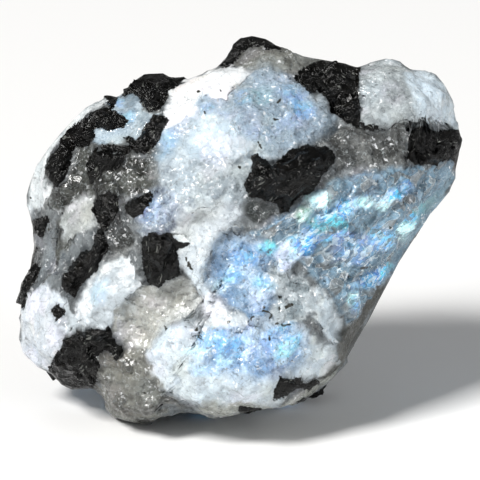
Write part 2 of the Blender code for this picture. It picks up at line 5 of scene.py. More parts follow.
import bmesh
import bpy
import numpy as np
from mathutils import Matrix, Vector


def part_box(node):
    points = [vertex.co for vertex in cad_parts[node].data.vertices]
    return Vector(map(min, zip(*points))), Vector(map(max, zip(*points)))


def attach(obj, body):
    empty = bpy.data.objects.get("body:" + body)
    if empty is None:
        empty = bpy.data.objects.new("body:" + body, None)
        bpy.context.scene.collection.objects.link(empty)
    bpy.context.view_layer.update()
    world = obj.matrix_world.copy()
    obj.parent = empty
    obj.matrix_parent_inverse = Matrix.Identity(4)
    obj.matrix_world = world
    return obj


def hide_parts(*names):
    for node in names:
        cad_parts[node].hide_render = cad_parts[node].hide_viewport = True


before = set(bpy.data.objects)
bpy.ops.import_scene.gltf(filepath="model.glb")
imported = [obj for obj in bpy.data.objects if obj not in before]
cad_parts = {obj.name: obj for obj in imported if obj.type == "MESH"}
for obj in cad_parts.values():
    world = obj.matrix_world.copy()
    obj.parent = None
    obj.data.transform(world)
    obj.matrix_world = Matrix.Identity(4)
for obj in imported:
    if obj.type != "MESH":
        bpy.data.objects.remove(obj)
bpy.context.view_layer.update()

# The lump of feldspar.
# The real piece is one broken chunk of milky feldspar. It was knocked out of its vein, so every
# side is a break: flat at large, and stepped and chipped where it follows the cleavage.
# It is drawn on its best face in millimetres, x across, y up and z out, and leant back later.
FRONT_DEPTH = 17.5
BACK_DEPTH = 18.5
LEAN = 18.0
FOOT_LEVEL = -25.5
FINEST_STEPS = 8
MOST_TRIANGLES = 196000
MM = 0.001
OUTLINE = [
    (-7.9, 24.1), (-5.2, 25.3), (-3.4, 25.9), (-2.1, 27.4), (-1.1, 29.4), (0, 30.3), (1.8, 30.8),
    (3.9, 30.3), (6.1, 28.6), (9, 27.6), (13, 27), (15.8, 26.6), (17.6, 25.8), (19.8, 26.8),
    (21.9, 27.4), (24, 26.8), (25.6, 25.6), (27.8, 25.6), (29.5, 24.9), (30.9, 23.2), (32.1, 20.7),
    (33, 16.9), (33.6, 15), (33, 13), (32.4, 10.5), (32.5, 9.2), (31.5, 7.2), (28.5, 3.8), (26.1, 0),
    (24, -3.3), (21.9, -7.2), (19.5, -11.7), (17.4, -15.3), (16.1, -17.6), (16.2, -18.4),
    (14.8, -19.9), (12.8, -21.6), (9.2, -24.1), (6.1, -25.1), (4.2, -24.8), (1.2, -25.6),
    (-1.8, -25.6), (-4, -26.6), (-6, -25.6), (-8.5, -25.2), (-10.8, -25.5), (-12.2, -25.1),
    (-12.3, -26.4), (-13.3, -27.6), (-15.8, -27.4), (-18.8, -26.6), (-20.1, -25.5), (-20.4, -24),
    (-21.6, -22.3), (-22.5, -22.2), (-25.3, -22.6), (-26.8, -21.9), (-28.2, -20.2), (-30.4, -19.2),
    (-32.7, -16.9), (-33.4, -14.7), (-33, -12.8), (-33.4, -11.7), (-32.4, -9.9), (-34, -9.4),
    (-33.3, -7.8), (-33.1, -6.5), (-31.5, -4.2), (-31, -1.2), (-31, 2.2), (-32.1, 5.2), (-32.2, 6.8),
    (-31.5, 9), (-30.6, 11.2), (-28.5, 14.2), (-25.9, 17.2), (-23.2, 19.9), (-20.4, 21.4),
    (-20.6, 21.9), (-19.6, 21.9), (-18.3, 21.3), (-17.4, 21.6), (-17.6, 22.8), (-16.5, 23.1),
    (-15.6, 24.1), (-14.4, 25.1), (-11.5, 25.2), (-10.5, 24.4), (-8.4, 24.6)
]
FRONT_BREAKS = [(118, 21, 8), (62, 25, 11), (12, 15, 13), (-31, 48, 20), (-88, 18, 12),
                (-140, 18, 14), (172, 21, 12)]
BACK_BREAKS = [(20, 22, 8), (78, 31, 9), (137, 21, 5), (190, 32, 14), (-112, 5, 3),
               (-62, 11, 9), (-24, 30, 17)]
LEAST_DEPTH = 8.0
ROUND_RIM = 3.4
SQUARE_FOOT = 9.0
FOOT_DIRECTION = -95.0
FOOT_SPREAD = 42.0
RIM_WANDER = 2.5
RIM_WANDER_TURN = 280.0
RIM_TWIST = 1.5
RIM_TWIST_TURN = 15.0
RIM_DETAIL = 5.0
WALL_INSET = 0.5
RIM_STEPS = 720
DIP_STEPS = 10
SMOOTH_STEPS = 24
CORNER = 1e-6
FACE_FADE = 0.45


def smooth_step(value):
    """0 below 0, 1 above 1, and a smooth rise between them."""
    value = np.clip(value, 0, 1)
    return value * value * (3 - 2 * value)


def outline_reach(angles):
    """How far the outline is from the middle, in each direction."""
    starts = np.array(OUTLINE, float)
    ends = np.roll(starts, -1, axis=0)
    ray = np.stack([np.cos(angles), np.sin(angles)], axis=1)
    reach = np.zeros(len(angles))
    for start, side in zip(starts, ends - starts):
        turn = ray[:, 0] * side[1] - ray[:, 1] * side[0]
        turn = np.where(np.abs(turn) < 1e-9, 1e-9, turn)
        distance = (start[0] * side[1] - start[1] * side[0]) / turn
        share = (start[0] * ray[:, 1] - start[1] * ray[:, 0]) / turn
        met = (share >= -CORNER) & (share <= 1 + CORNER) & (distance > 0)
        reach = np.where(met, np.maximum(reach, distance), reach)
    return reach


def wall_reach(angles):
    """The outline without its small corners, kept inside it, for the walls away from the rim."""
    grid = np.arange(RIM_STEPS) * 2 * math.pi / RIM_STEPS
    reach = outline_reach(grid)
    near = range(-DIP_STEPS, DIP_STEPS + 1)
    least = np.min([np.roll(reach, step) for step in near], axis=0)
    weights = np.hanning(2 * SMOOTH_STEPS + 3)[1:-1]
    around = range(-SMOOTH_STEPS, SMOOTH_STEPS + 1)
    smooth = sum(weight * np.roll(least, step) for step, weight in zip(around, weights))
    return np.interp(angles, grid, smooth / weights.sum() - WALL_INSET, period=2 * math.pi)


def broken_depth(points, depth, breaks):
    """The depth of a face under its flat breaks."""
    lowest = np.full(len(points), float(depth))
    for direction, slope, start in breaks:
        turn = math.radians(direction)
        away = points @ np.array([math.cos(turn), math.sin(turn)])
        lowest = np.minimum(lowest, depth - math.tan(math.radians(slope)) * (away - start))
    return np.maximum(lowest, LEAST_DEPTH)


def near_foot(angles):
    """1 straight down at the foot, falling to 0 round to either side."""
    from_foot = np.angle(np.exp(1j * (angles - math.radians(FOOT_DIRECTION))))
    return np.exp(-((from_foot / math.radians(FOOT_SPREAD)) ** 2))


def lump_points(directions):
    """The plain broken lump: each direction from the middle moved out to its surface."""
    across, up, out = directions.T
    angles = np.arctan2(up, across)
    foot = near_foot(angles)
    power = ROUND_RIM + (SQUARE_FOOT - ROUND_RIM) * foot
    flat, deep = np.hypot(across, up), np.abs(out)
    scale = (flat**power + deep**power) ** (-1 / power)
    share, height = flat * scale, deep * scale
    blend = smooth_step(height * FRONT_DEPTH / RIM_DETAIL) * (1 - foot)
    reach = outline_reach(angles) * (1 - blend) + wall_reach(angles) * blend
    face = np.stack([reach * share * np.cos(angles), reach * share * np.sin(angles)], axis=1)
    front = broken_depth(face, FRONT_DEPTH, FRONT_BREAKS)
    back = broken_depth(face, BACK_DEPTH, BACK_BREAKS)
    rim = RIM_WANDER * np.sin(2 * angles + math.radians(RIM_WANDER_TURN))
    rim += RIM_TWIST * np.sin(3 * angles + math.radians(RIM_TWIST_TURN))
    depth = rim * share**2 + height * np.where(out >= 0, front, -back)
    return np.column_stack([face, depth]), angles, height * np.sign(out)


def vertex_places(mesh):
    """Every vertex's place, as rows of numbers."""
    places = np.empty(len(mesh.vertices) * 3, np.float32)
    mesh.vertices.foreach_get("co", places)
    return places.reshape(-1, 3).astype(float)


def normals_of(mesh, points):
    """The outward normal at each vertex once the mesh takes these points."""
    mesh.vertices.foreach_set("co", points.astype(np.float32).ravel())
    mesh.update()
    normals = np.empty(len(points) * 3, np.float32)
    mesh.vertex_normals.foreach_get("vector", normals)
    return normals.reshape(-1, 3).astype(float)


ball = bmesh.new()
bmesh.ops.create_icosphere(ball, subdivisions=FINEST_STEPS, radius=1)
lump = bpy.data.meshes.new("moonstone_surface")
ball.to_mesh(lump)
ball.free()
directions = vertex_places(lump)
directions /= np.linalg.norm(directions, axis=1)[:, None]
points, angles, height = lump_points(directions)
face = points[:, :2].copy()
in_front = smooth_step(height / FACE_FADE)

# The masses of the face.
# The feldspar grew as several masses, which differ in colour and in how they broke: milky domes and
# tongues stand proud, and smoky or clear ones lie sunk between them.
# Each row holds a rise and a shoulder in millimetres, a main and a second tint, how soft its edge
# is, how much it sparkles, how much it is chipped, and its edge.
MASSES = {
    "milky_dome": (2.6, 4.0, (194, 206, 214), (148, 159, 168), 0.7, 0.6, 0.5, [
        (-11.2, 16.8), (-10.7, 21), (-9, 22.5), (-5.2, 24.6), (-1.5, 25.2), (1.5, 25.5), (5.2, 24.6),
        (7.8, 23.1), (9.8, 21.6), (11.7, 21.4), (13.9, 18.4), (12.3, 16.1), (9, 13.8), (6.5, 12.6),
        (4.5, 11.2), (2.4, 12.8), (1.5, 10.5), (0.6, 7.5), (-0.8, 5.2), (-5.2, 3.9), (-7.5, 2.7),
        (-9.8, 1.2), (-13.8, 0.6), (-15, 1.8), (-15.1, 3.9), (-14.1, 5.5), (-12.4, 7.2), (-12.6, 10.5),
        (-12.3, 13.5)
    ]),
    "right_block": (2.0, 2.5, (182, 190, 193), (142, 149, 152), 0.25, 0.7, 0.7, [
        (17.8, 25.6), (19.8, 26.8), (21.9, 27.4), (24, 26.8), (25.6, 25.6), (27.8, 25.6), (29.5, 24.9),
        (30.9, 23.2), (32.1, 20.7), (33.1, 16.3), (30, 16.5), (28.2, 16.3), (25.8, 16.8), (24.8, 15.9),
        (21.6, 16.3), (19.8, 17.1), (17.8, 17.2), (17.6, 22.2)
    ]),
    "summit_grey": (0.0, 1.0, (140, 142, 138), (102, 103, 98), 0.3, 0.5, 0.7, [
        (-2.4, 26.4), (-1.1, 27.6), (1.5, 29.5), (3.8, 29.5), (7.5, 27.9), (13, 27), (9.4, 25.8),
        (8.1, 24.1), (6, 24.8), (3.3, 25.3), (0, 25.3)
    ]),
    "smoky_band": (-1.3, 2.0, (66, 67, 66), (106, 108, 107), 0.35, 0.7, 0.9, [
        (13.8, 18.9), (17.8, 17.2), (21.6, 16.3), (24.8, 15.8), (25.3, 14.1), (24.8, 12.3),
        (25.8, 11.1), (21.8, 10.8), (16.5, 10.2), (14.7, 9), (12.3, 9.9), (13.9, 11.5), (13.7, 12.9),
        (12.8, 13.9), (9, 13.8), (11.7, 15.8)
    ]),
    "blue_ledges": (0.0, 1.0, (132, 162, 182), (104, 130, 148), 0.3, 0.7, 1.0, [
        (7.3, 4.2), (10, 6.8), (15, 9), (21.8, 10.8), (29.4, 11.4), (31.6, 12.2), (32.5, 9.2),
        (31.8, 7.2), (28.5, 3.3), (26.2, 0), (24, -3.3), (22.8, -5.7), (20.2, -7.5), (18.3, -11.2),
        (15.8, -12.3), (13.5, -9), (11.7, -6.8), (9, -3.3), (4.5, -0.8), (1.5, 1.2), (4.5, 2.7)
    ]),
    "blue_bowl": (-1.1, 3.0, (134, 167, 202), (164, 188, 212), 0.9, 0.8, 0.8, [
        (-3.8, -0.8), (-0.8, 0.6), (3.3, 0), (7.5, -3.3), (9, -6.8), (6.8, -9.8), (3.3, -12.8),
        (0.8, -12.8), (-2.7, -9.8), (-4.2, -6), (-4.8, -3.3)
    ]),
    "white_collar": (0.9, 1.2, (228, 236, 241), (204, 214, 221), 0.25, 0.5, 0.5, [
        (-9, 0), (-3.8, 2.2), (0, 1.8), (-3.8, -0.8), (-4.8, -3.3), (-4.2, -6.8), (-2.7, -10.2),
        (0.8, -13), (-1.8, -13.8), (-4.8, -12.9), (-7, -9), (-7.8, -6), (-9, -3.3)
    ]),
    "lower_mass": (2.4, 3.0, (217, 229, 235), (190, 202, 211), 0.6, 0.5, 0.5, [
        (-13.5, -15.8), (-11.2, -12), (-7.5, -9.8), (-4.8, -13), (-1.2, -13.8), (3.3, -13.2),
        (6.8, -10.2), (9.8, -13.5), (13.5, -15.8), (13.8, -18.8), (11.7, -20.7), (6.1, -20.2),
        (5.4, -23.7), (0, -24.6), (-5.2, -24.8), (-8.2, -24.3), (-11.2, -23.2), (-13.5, -20.2),
        (-14.2, -17.7)
    ]),
    "blue_skirt": (0.0, 1.0, (140, 176, 216), (178, 202, 224), 1.0, 0.9, 0.9, [
        (-6, -14.2), (-2.2, -13.5), (3.3, -13.5), (7.5, -11.7), (10.5, -15.8), (9, -18.8),
        (4.5, -20.2), (-0.8, -20.2), (-4.5, -18.8), (-6.8, -16.5)
    ]),
    "right_knob": (1.3, 1.5, (200, 211, 218), (170, 182, 190), 0.25, 0.5, 0.5, [
        (9.8, -7.2), (11.7, -6.5), (13.5, -9), (15.1, -11.7), (14.7, -14.2), (13.5, -15.1),
        (11.7, -12.9), (10.5, -10.8), (9.8, -9)
    ]),
    # Painted shade: the tints of this grey-brown break, which faces down and away from the light, are
    # darkened for the shade it lies in.
    "shaded_underside": (0.0, 1.0, (50, 51, 45), (74, 74, 68), 0.25, 0.1, 0.15, [
        (32.5, 9.2), (31.5, 6), (28.5, 2.7), (26.2, -0.8), (24, -3.8), (21.9, -7.2), (19.5, -11.7),
        (17.4, -15.3), (16.1, -18), (14.8, -19.9), (12.8, -21.6), (11.7, -20.7), (13.8, -18.3),
        (13.8, -15.8), (15.1, -12.8), (18.3, -11.4), (20.4, -7.8), (22.8, -5.8), (24.3, -3.3),
        (27, 0.3)
    ]),
    "left_smoky": (-1.2, 2.0, (36, 37, 34), (70, 72, 68), 0.4, 0.5, 0.6, [
        (-26.1, 9.2), (-24.9, 13.9), (-22.5, 14.2), (-21, 13), (-16.5, 12.8), (-13.5, 13),
        (-12.3, 13.5), (-12.6, 7.5), (-15.3, 6.3), (-16.9, 5.2), (-18.3, 4.2), (-19.5, 1.2),
        (-21, 1.8), (-21.4, -0.4), (-26.2, -4.8), (-29.2, -7.5), (-28.5, -3.3), (-27.8, 0.8),
        (-27, 3.8), (-30, 5.2), (-27.9, 7.5)
    ]),
    "smoky_pocket": (-0.7, 1.0, (50, 52, 52), (90, 94, 96), 0.3, 0.5, 0.6, [
        (-19.2, 5.2), (-17.7, 5.5), (-16.0, 5.0), (-15.2, 2.7), (-14.6, 0), (-14.2, -1.5),
        (-15.6, -1.8), (-17.1, -2.4), (-18.4, -2.1), (-20.0, -3.3), (-20.6, -2.2), (-20.4, 2.2)
    ]),
    "pale_tooth": (1.0, 0.8, (186, 191, 191), (140, 145, 144), 0.15, 0.5, 0.5, [
        (-26.7, 3.4), (-24.8, 6), (-22.8, 7.5), (-21.3, 6), (-21.9, 4.6), (-21.3, 2.7), (-22.5, 1.2),
        (-23.7, 0.3), (-24.6, -0.9), (-25.8, 0.3)
    ]),
    "grey_plate": (0.0, 1.0, (88, 94, 98), (118, 124, 127), 0.15, 0.4, 0.4, [
        (-28.8, -6.8), (-26.7, -2.2), (-24, 0.3), (-21.3, 1.8), (-21.6, -0.8), (-23.7, -2.1),
        (-26.1, -4.5), (-26.4, -6.5), (-24.8, -8.4), (-26.7, -9), (-27.8, -7.2)
    ]),
    "left_rim": (-1.4, 1.5, (226, 231, 233), (196, 203, 206), 0.3, 0.5, 0.5, [
        (-31.9, 7.5), (-30.6, 11.2), (-28.5, 14.2), (-25.9, 17.2), (-23.2, 19.9), (-20.4, 21.4),
        (-19.2, 19.6), (-22.1, 18.8), (-24.4, 17.2), (-27.4, 13.5), (-28.5, 11.7), (-28.8, 9.8),
        (-27.9, 7.5), (-30, 5.2), (-31, 4.2), (-32.1, 5.2)
    ]),
    "window_pane": (0.3, 0.4, (180, 196, 207), (126, 142, 154), 0.1, 0.4, 0.3, [
        (-19.2, 19.5), (-18, 21.3), (-16.5, 21.9), (-15.6, 21.9), (-14.5, 20.1), (-13.5, 19.1),
        (-11.7, 19.2), (-12.9, 18.3), (-14.2, 16.3), (-15.4, 14.8), (-17.1, 15.1), (-18, 14.2),
        (-21.3, 13.9), (-22.2, 14.4), (-21.4, 15.3), (-21.8, 16.5), (-17.2, 16.8), (-16.8, 17.8)
    ]),
    "lower_left_lump": (0.9, 2.0, (216, 223, 229), (190, 198, 206), 0.2, 0.4, 0.5, [
        (-33.4, -14.7), (-33, -12.8), (-33.4, -11.7), (-32.4, -9.9), (-30.3, -7.5), (-28.8, -6.9),
        (-27, -8.7), (-25.5, -9.4), (-26.4, -11.2), (-26.7, -12.8), (-24.8, -13.9), (-26.1, -15.3),
        (-27.6, -17.4), (-28.3, -19.2), (-30.4, -19.2), (-32.7, -16.9)
    ]),
    "white_tongue": (1.9, 2.0, (226, 232, 236), (180, 189, 195), 0.15, 0.4, 0.4, [
        (-26.7, -12.3), (-25.2, -9.4), (-23.4, -7.2), (-21.3, -4.8), (-19.8, -2.7), (-18, -2.1),
        (-15.9, -2.5), (-13.9, -6.9), (-14.1, -8.2), (-15.8, -9.8), (-18, -11.2), (-19.2, -13),
        (-20.4, -13.5), (-24, -13.9), (-26.1, -14.7)
    ]),
    "brown_pocket": (-1.5, 1.8, (190, 192, 188), (156, 157, 152), 0.35, 0.7, 0.6, [
        (-13.9, -6.9), (-12, -6.9), (-9, -5.5), (-7.5, -6.5), (-6.8, -9), (-8.5, -10.2),
        (-11.2, -12.3), (-13.5, -15.8), (-15, -15.8), (-17.4, -15.8), (-19.2, -13.2), (-17.7, -11.1),
        (-15.6, -9.6)
    ]),
    "smoky_foot": (0.0, 1.0, (126, 127, 121), (80, 80, 76), 0.25, 0.5, 0.7, [
        (-21, -16.5), (-19.9, -16.3), (-18.3, -17.7), (-17.7, -15.9), (-14.7, -15.8), (-13.5, -18),
        (-11.2, -22.8), (-8.5, -25.2), (-12.2, -25.1), (-12.3, -26.4), (-13.3, -27.6), (-15.8, -27.4),
        (-18.8, -26.6), (-20.1, -25.5), (-20.4, -24), (-21.6, -21.8), (-21.3, -19.5), (-20.8, -18.3),
        (-21.6, -17.1)
    ]),
    "grey_inset": (-0.3, 0.5, (46, 50, 50), (74, 78, 78), 0.2, 0.3, 0.4, [
        (-0.6, 5.2), (1.5, 6), (5.5, 5.5), (6, 4.2), (4.5, 2.9), (2.2, 2.7), (0, 3.8)
    ]),
    "bottom_grey": (0.0, 1.0, (168, 171, 165), (136, 138, 131), 0.25, 0.6, 0.5, [
        (-6.8, -25.2), (-3.8, -24.3), (0, -24.3), (5.4, -23.8), (9.2, -22.2), (12.8, -20.7),
        (14.8, -19.9), (12.8, -21.6), (9.2, -24.1), (6.1, -25.1), (1.2, -25.6), (-1.8, -25.6),
        (-4, -26.6)
    ]),
    "dome_cap": (0.5, 0.4, (245, 247, 248), (232, 236, 239), 0.15, 0.2, 0.25, [
        (-11.3, 19.6), (-10.8, 21.3), (-10.2, 22.7), (-7.9, 24.1), (-4.7, 25.0), (-3.3, 25.8),
        (-0.7, 25.6), (2.2, 25.6), (1.5, 25.1), (0.1, 23.9), (-0.9, 22.5), (-1.9, 21.2), (-2.9, 20.5),
        (-4.3, 21.0), (-6.2, 20.7), (-6.7, 19.6), (-8.1, 18.1), (-10.0, 17.2), (-11.1, 17.1)
    ]),
    "dome_blue": (-0.3, 0.5, (160, 178, 192), (142, 160, 176), 0.8, 0.7, 0.7, [
        (0.1, 23.9), (1.5, 25.1), (2.4, 25.5), (4.3, 25.1), (5.5, 24.6), (7.9, 23.7), (9.0, 22.2),
        (9.9, 21.3), (12.0, 20.4), (13.7, 18.3), (13.9, 17.1), (12.3, 15.6), (9.8, 14.2), (7.5, 13.5),
        (4.8, 12.3), (2.7, 13.5), (0.9, 14.7), (-0.3, 15.6), (-1.5, 16.8), (-2.7, 17.4), (-5.2, 19.2),
        (-6.1, 20.4), (-4.3, 21.0), (-3.0, 20.5), (-1.9, 21.1), (-0.9, 22.5)
    ]),
    "dome_pale": (0.0, 1.0, (206, 220, 229), (190, 208, 220), 2.0, 0.3, 0.3, [
        (-5.2, 19.2), (-2.7, 17.4), (-0.3, 16.2), (0.9, 14.7), (1.8, 13.2), (2.2, 12.0), (1.5, 11.1),
        (-0.8, 12.0), (-3.8, 12.8), (-6.8, 12.0), (-9.0, 12.3), (-9.8, 13.5), (-8.2, 15.8),
        (-7.2, 18.0)
    ]),
    "dome_streak": (0.0, 1.0, (172, 190, 204), (150, 172, 188), 0.4, 0.5, 0.5, [
        (-10.8, 16.8), (-9.8, 17.4), (-8.7, 17.1), (-9.3, 15.0), (-10.2, 13.2), (-11.1, 12.3),
        (-12.0, 12.6), (-12.0, 14.1), (-11.4, 15.6)
    ]),
    "dome_grey": (-0.3, 1.5, (190, 202, 210), (158, 169, 176), 0.8, 0.6, 0.6, [
        (-9.8, 9.8), (-7.5, 11.2), (-5.2, 12.0), (-2.2, 12.3), (0.8, 11.2), (1.5, 9.8), (1.2, 7.5),
        (0.0, 6.0), (-2.2, 6.6), (-4.5, 7.5), (-6.8, 6.8), (-9.0, 6.0), (-10.8, 6.8), (-11.2, 8.2)
    ]),
    "lilac_cluster": (-0.4, 0.6, (122, 135, 154), (160, 172, 184), 0.3, 0.9, 1.0, [
        (-14.7, 6.6), (-13.5, 7.5), (-11.2, 7.8), (-9.6, 6.8), (-9.0, 4.5), (-9.8, 2.2), (-10.8, 1.2),
        (-12.6, 0.6), (-14.1, 1.5), (-15.0, 3.3), (-15.1, 5.2)
    ]),
    "white_shoulder": (0.5, 1.5, (212, 220, 226), (184, 192, 199), 0.7, 0.4, 0.4, [
        (-8.2, 4.2), (-6.0, 5.1), (-3.0, 5.7), (-0.3, 5.2), (0.0, 3.8), (-0.8, 2.2), (-2.2, 1.2),
        (-4.5, 0.6), (-6.8, 0.6), (-9.0, 1.2), (-9.6, 2.7)
    ]),
    "right_face": (0.0, 1.0, (216, 228, 236), (194, 208, 218), 0.5, 0.5, 0.4, [
        (24.8, 24.8), (27.0, 25.5), (30.0, 24.0), (31.8, 21.0), (33.0, 17.2), (31.2, 16.8),
        (29.4, 16.5), (27.0, 18.3), (25.8, 21.0)
    ]),
    "tan_hollow": (-0.8, 1.5, (142, 154, 160), (174, 183, 188), 0.5, 0.7, 0.7, [
        (3.3, -4.2), (5.2, -3.3), (7.5, -3.3), (9.0, -4.8), (10.5, -6.8), (10.8, -9.0), (9.9, -10.8),
        (8.4, -12.3), (6.8, -12.9), (5.2, -12.3), (4.5, -10.8), (4.8, -9.0), (4.2, -7.2), (3.3, -5.7)
    ]),
}
PLAIN_TINT = (128, 134, 137)
PLAIN_SECOND = (84, 88, 90)
PLAIN_SPARKLE = 0.4
PLAIN_CHIPPED = 0.6
EDGE_SPREAD = 3
EDGE_RAGGED = 0.5
LEAST_EDGED = 0.6
EDGE_WIDTH = 0.35
EDGE_HIGHLIGHT_TINT = (236, 242, 245)
EDGE_HIGHLIGHT = 0.35
EDGE_SHADE = 0.4
SEED = 11
BEND = [(0.6, 2.4, 5), (0.35, 1.0, 45)]
BEND_APART = 20
RAGGED = [(0.45, 1.4, 3), (0.25, 0.6, 41)]


def depth_inside(places, outline):
    """How far each place lies inside a closed outline; outside it is negative."""
    starts = np.array(outline, float)
    ends = np.roll(starts, -1, axis=0)
    distance = np.full(len(places), np.inf)
    inside = np.zeros(len(places), bool)
    for start, end in zip(starts, ends):
        side = end - start
        away = places - start
        share = np.clip(away @ side / (side @ side), 0, 1)
        distance = np.minimum(distance, np.linalg.norm(away - share[:, None] * side, axis=1))
        if side[1] != 0:
            spans = (start[1] > places[:, 1]) != (end[1] > places[:, 1])
            crossing = start[0] + side[0] * (places[:, 1] - start[1]) / side[1]
            inside ^= spans & (places[:, 0] < crossing)
    return np.where(inside, distance, -distance)


def random_of(cells, count):
    """Random numbers from 0 to 1 for each cell of a grid, the same on every run."""
    mixed = cells @ np.array([73856093, 19349663, 83492791]) + SEED * 2654435761
    numbers = []
    for step in range(count):
        mixed = (mixed * 6364136223846793005 + 1442695040888963407 + step) & 0x7FFFFFFFFFFFFFFF
        numbers.append(((mixed >> 24) & 0xFFFFFF) / float(0x1000000))
    return np.stack(numbers, axis=-1)


def soft_noise(places, size, start):
    """Smooth noise from -1 to 1 with bumps of about this size; another start gives another noise."""
    place = places / size + start
    home = np.floor(place).astype(np.int64)
    share = smooth_step(place - home)
    total = np.zeros(len(places))
    for corner in np.ndindex(2, 2, 2):
        weight = np.prod(np.where(np.array(corner) == 1, share, 1 - share), axis=1)
        total += weight * random_of(home + np.array(corner), 1)[:, 0]
    return 2 * total - 1


def waves(places, layers, apart=0):
    """Smooth noise in layers, each with a height, a size and a start."""
    return sum(height * soft_noise(places, size, start + apart) for height, size, start in layers)


def linear(colour):
    """A colour given as the eye sees it, from 0 to 255, in the numbers that a shader uses."""
    part = np.array(colour, float) / 255
    return np.where(part <= 0.04045, part / 12.92, ((part + 0.055) / 1.055) ** 2.4)


bend = np.column_stack([waves(points, BEND), waves(points, BEND, BEND_APART)])
ragged = waves(points, RAGGED)
relief = np.zeros(len(points))
tint = np.tile(linear(PLAIN_TINT), (len(points), 1))
second = np.tile(linear(PLAIN_SECOND), (len(points), 1))
sparkle = np.full(len(points), PLAIN_SPARKLE)
chipped = np.full(len(points), PLAIN_CHIPPED)
for rise, shoulder, main_tint, second_tint, edge, shine, chips, outline in MASSES.values():
    depth = depth_inside(face + bend, outline)
    inset = 1 - np.clip(depth / shoulder, 0, 1)
    relief += rise * np.sqrt(1 - inset**2)
    share = smooth_step(0.5 + (depth + ragged) / (EDGE_SPREAD * edge))
    tint += share[:, None] * (linear(main_tint) - tint)
    second += share[:, None] * (linear(second_tint) - second)
    sparkle += share * (shine - sparkle)
    chipped += share * (chips - chipped)
    # Painted highlight and painted shade: a pale band just inside the edge of each raised or sunk mass, and
    # a darker band just outside it.
    if abs(rise) > LEAST_EDGED:
        across_edge = (depth + EDGE_RAGGED * ragged) / EDGE_WIDTH
        painted_highlight = EDGE_HIGHLIGHT * np.exp(-((across_edge - 1) ** 2))
        tint += painted_highlight[:, None] * (linear(EDGE_HIGHLIGHT_TINT) - tint)
        tint *= 1 - EDGE_SHADE * np.exp(-((across_edge + 1) ** 2))[:, None]
points[:, 2] += relief * in_front

# The back of the lump.
# The side away from the best face is the same rock, broken across: milky, smoky and pale blue
# patches a centimetre or so wide run into each other.
BACK_TINTS = [(206, 214, 220), (112, 113, 110), (158, 182, 204), (170, 174, 175)]
BACK_SECOND = 0.8
BACK_SPARKLE = 0.5
BACK_PATCH = 9.0
BACK_RARITY = 0.12
BACK_EDGE = 0.16
BACK_START = 0.3

behind = smooth_step(-height / BACK_START - BACK_START)
for number, colour in enumerate(BACK_TINTS):
    patch = waves(points, [(1.0, BACK_PATCH, 60 + 7 * number), (0.35, 2.5, 90 + number)])
    share = behind * (smooth_step(0.5 + (patch - BACK_RARITY) / BACK_EDGE) if number else 1.0)
    tint += share[:, None] * (linear(colour) - tint)
    second += share[:, None] * (BACK_SECOND * linear(colour) - second)
    sparkle += share * (BACK_SPARKLE - sparkle)
    chipped += share * (PLAIN_CHIPPED - chipped)

# The grains and chips of the break.
# Feldspar breaks along flat cleavage planes, so the surface is a patchwork of nearly flat chips of
# several sizes, each tilted its own way, with small cliffs between them.
GRAIN_SIZE = 8.0
GRAIN_HEIGHT = 1.3
GRAIN_TILT = 0.16
GRAIN_DOME = 0.05
GRAIN_FADE = 0.35
RIM_CHIPPING = 0.25
COARSE_CHIPS = [(5.5, 0.75), (2.8, 0.6)]
FINE_CHIPS = [(3.0, 0.4, 0.20, 0.50), (1.6, 0.6, 0.35, 0.30), (0.8, 0.5, 0.35, 0.12)]
CHIP_LIGHT = [0.5, 0.35, 0.15]


def grain_height(places):
    """Low facets: the highest of the tilted domes round each place's nearest grains."""
    home = np.floor(places / GRAIN_SIZE).astype(np.int64)
    highest = np.full(len(places), -np.inf)
    for step in np.ndindex(3, 3, 3):
        cell = home + np.array(step) - 1
        drawn = random_of(cell, 7)
        away = places - (cell + drawn[:, :3]) * GRAIN_SIZE
        tilted = np.sum(away * (drawn[:, 3:6] - 0.5) * 2 * GRAIN_TILT, axis=1)
        domed = GRAIN_DOME * np.sum(away**2, axis=1)
        highest = np.maximum(highest, GRAIN_HEIGHT * drawn[:, 6] + tilted - domed)
    return highest


def nearest_grain(places, size):
    """The cell of the nearest grain of this size to each place, and a number for it."""
    home = np.floor(places / size).astype(np.int64)
    chosen = home.copy()
    least = np.full(len(places), np.inf)
    for step in np.ndindex(3, 3, 3):
        cell = home + np.array(step) - 1
        distance = np.linalg.norm(places - (cell + random_of(cell, 3)) * size, axis=1)
        nearer = distance < least
        least = np.where(nearer, distance, least)
        chosen = np.where(nearer[:, None], cell, chosen)
    return chosen, np.unique(chosen, axis=0, return_inverse=True)[1].reshape(-1)


def mean_of(values, index):
    """The mean of each column over the rows that share an index, given back to every row."""
    count = np.bincount(index)
    return np.stack([np.bincount(index, column) / count for column in values.T], axis=1)[index]


def chip(places, size, flatness, tilt=0, step=0, grain=None):
    """Flattens the surface in chips of about this size, each tilted and raised its own way.

    The grain is where the chips are looked up, if it isn't the place itself. The second result is
    a number from 0 to 1 for each chip, high on the chips that stand proud.
    """
    normals = normals_of(lump, places)
    cell, index = nearest_grain(places if grain is None else grain, size)
    drawn = random_of(cell, 7)
    middle = mean_of(places, index)
    outward = mean_of(normals, index)
    outward /= np.linalg.norm(outward, axis=1)[:, None]
    off_plane = np.sum((places - middle) * outward, axis=1)
    leaning = np.sum((places - middle) * (drawn[:, 3:6] - 0.5), axis=1) * 2
    moved = leaning * tilt + (drawn[:, 6] - 0.5) * step - off_plane * flatness
    return places + outward * moved[:, None], drawn[:, 6]


calm = np.where(height < 0, near_foot(angles), 0)
off_rim = smooth_step(np.abs(height) / GRAIN_FADE)
grains = grain_height(points)
points += normals_of(lump, points) * ((grains - grains.mean()) * off_rim * (1 - calm))[:, None]
for size, flatness in COARSE_CHIPS:
    chipping = (RIM_CHIPPING + (1 - RIM_CHIPPING) * off_rim) * (1 - calm)
    points = chip(points, size, flatness * chipping)[0]

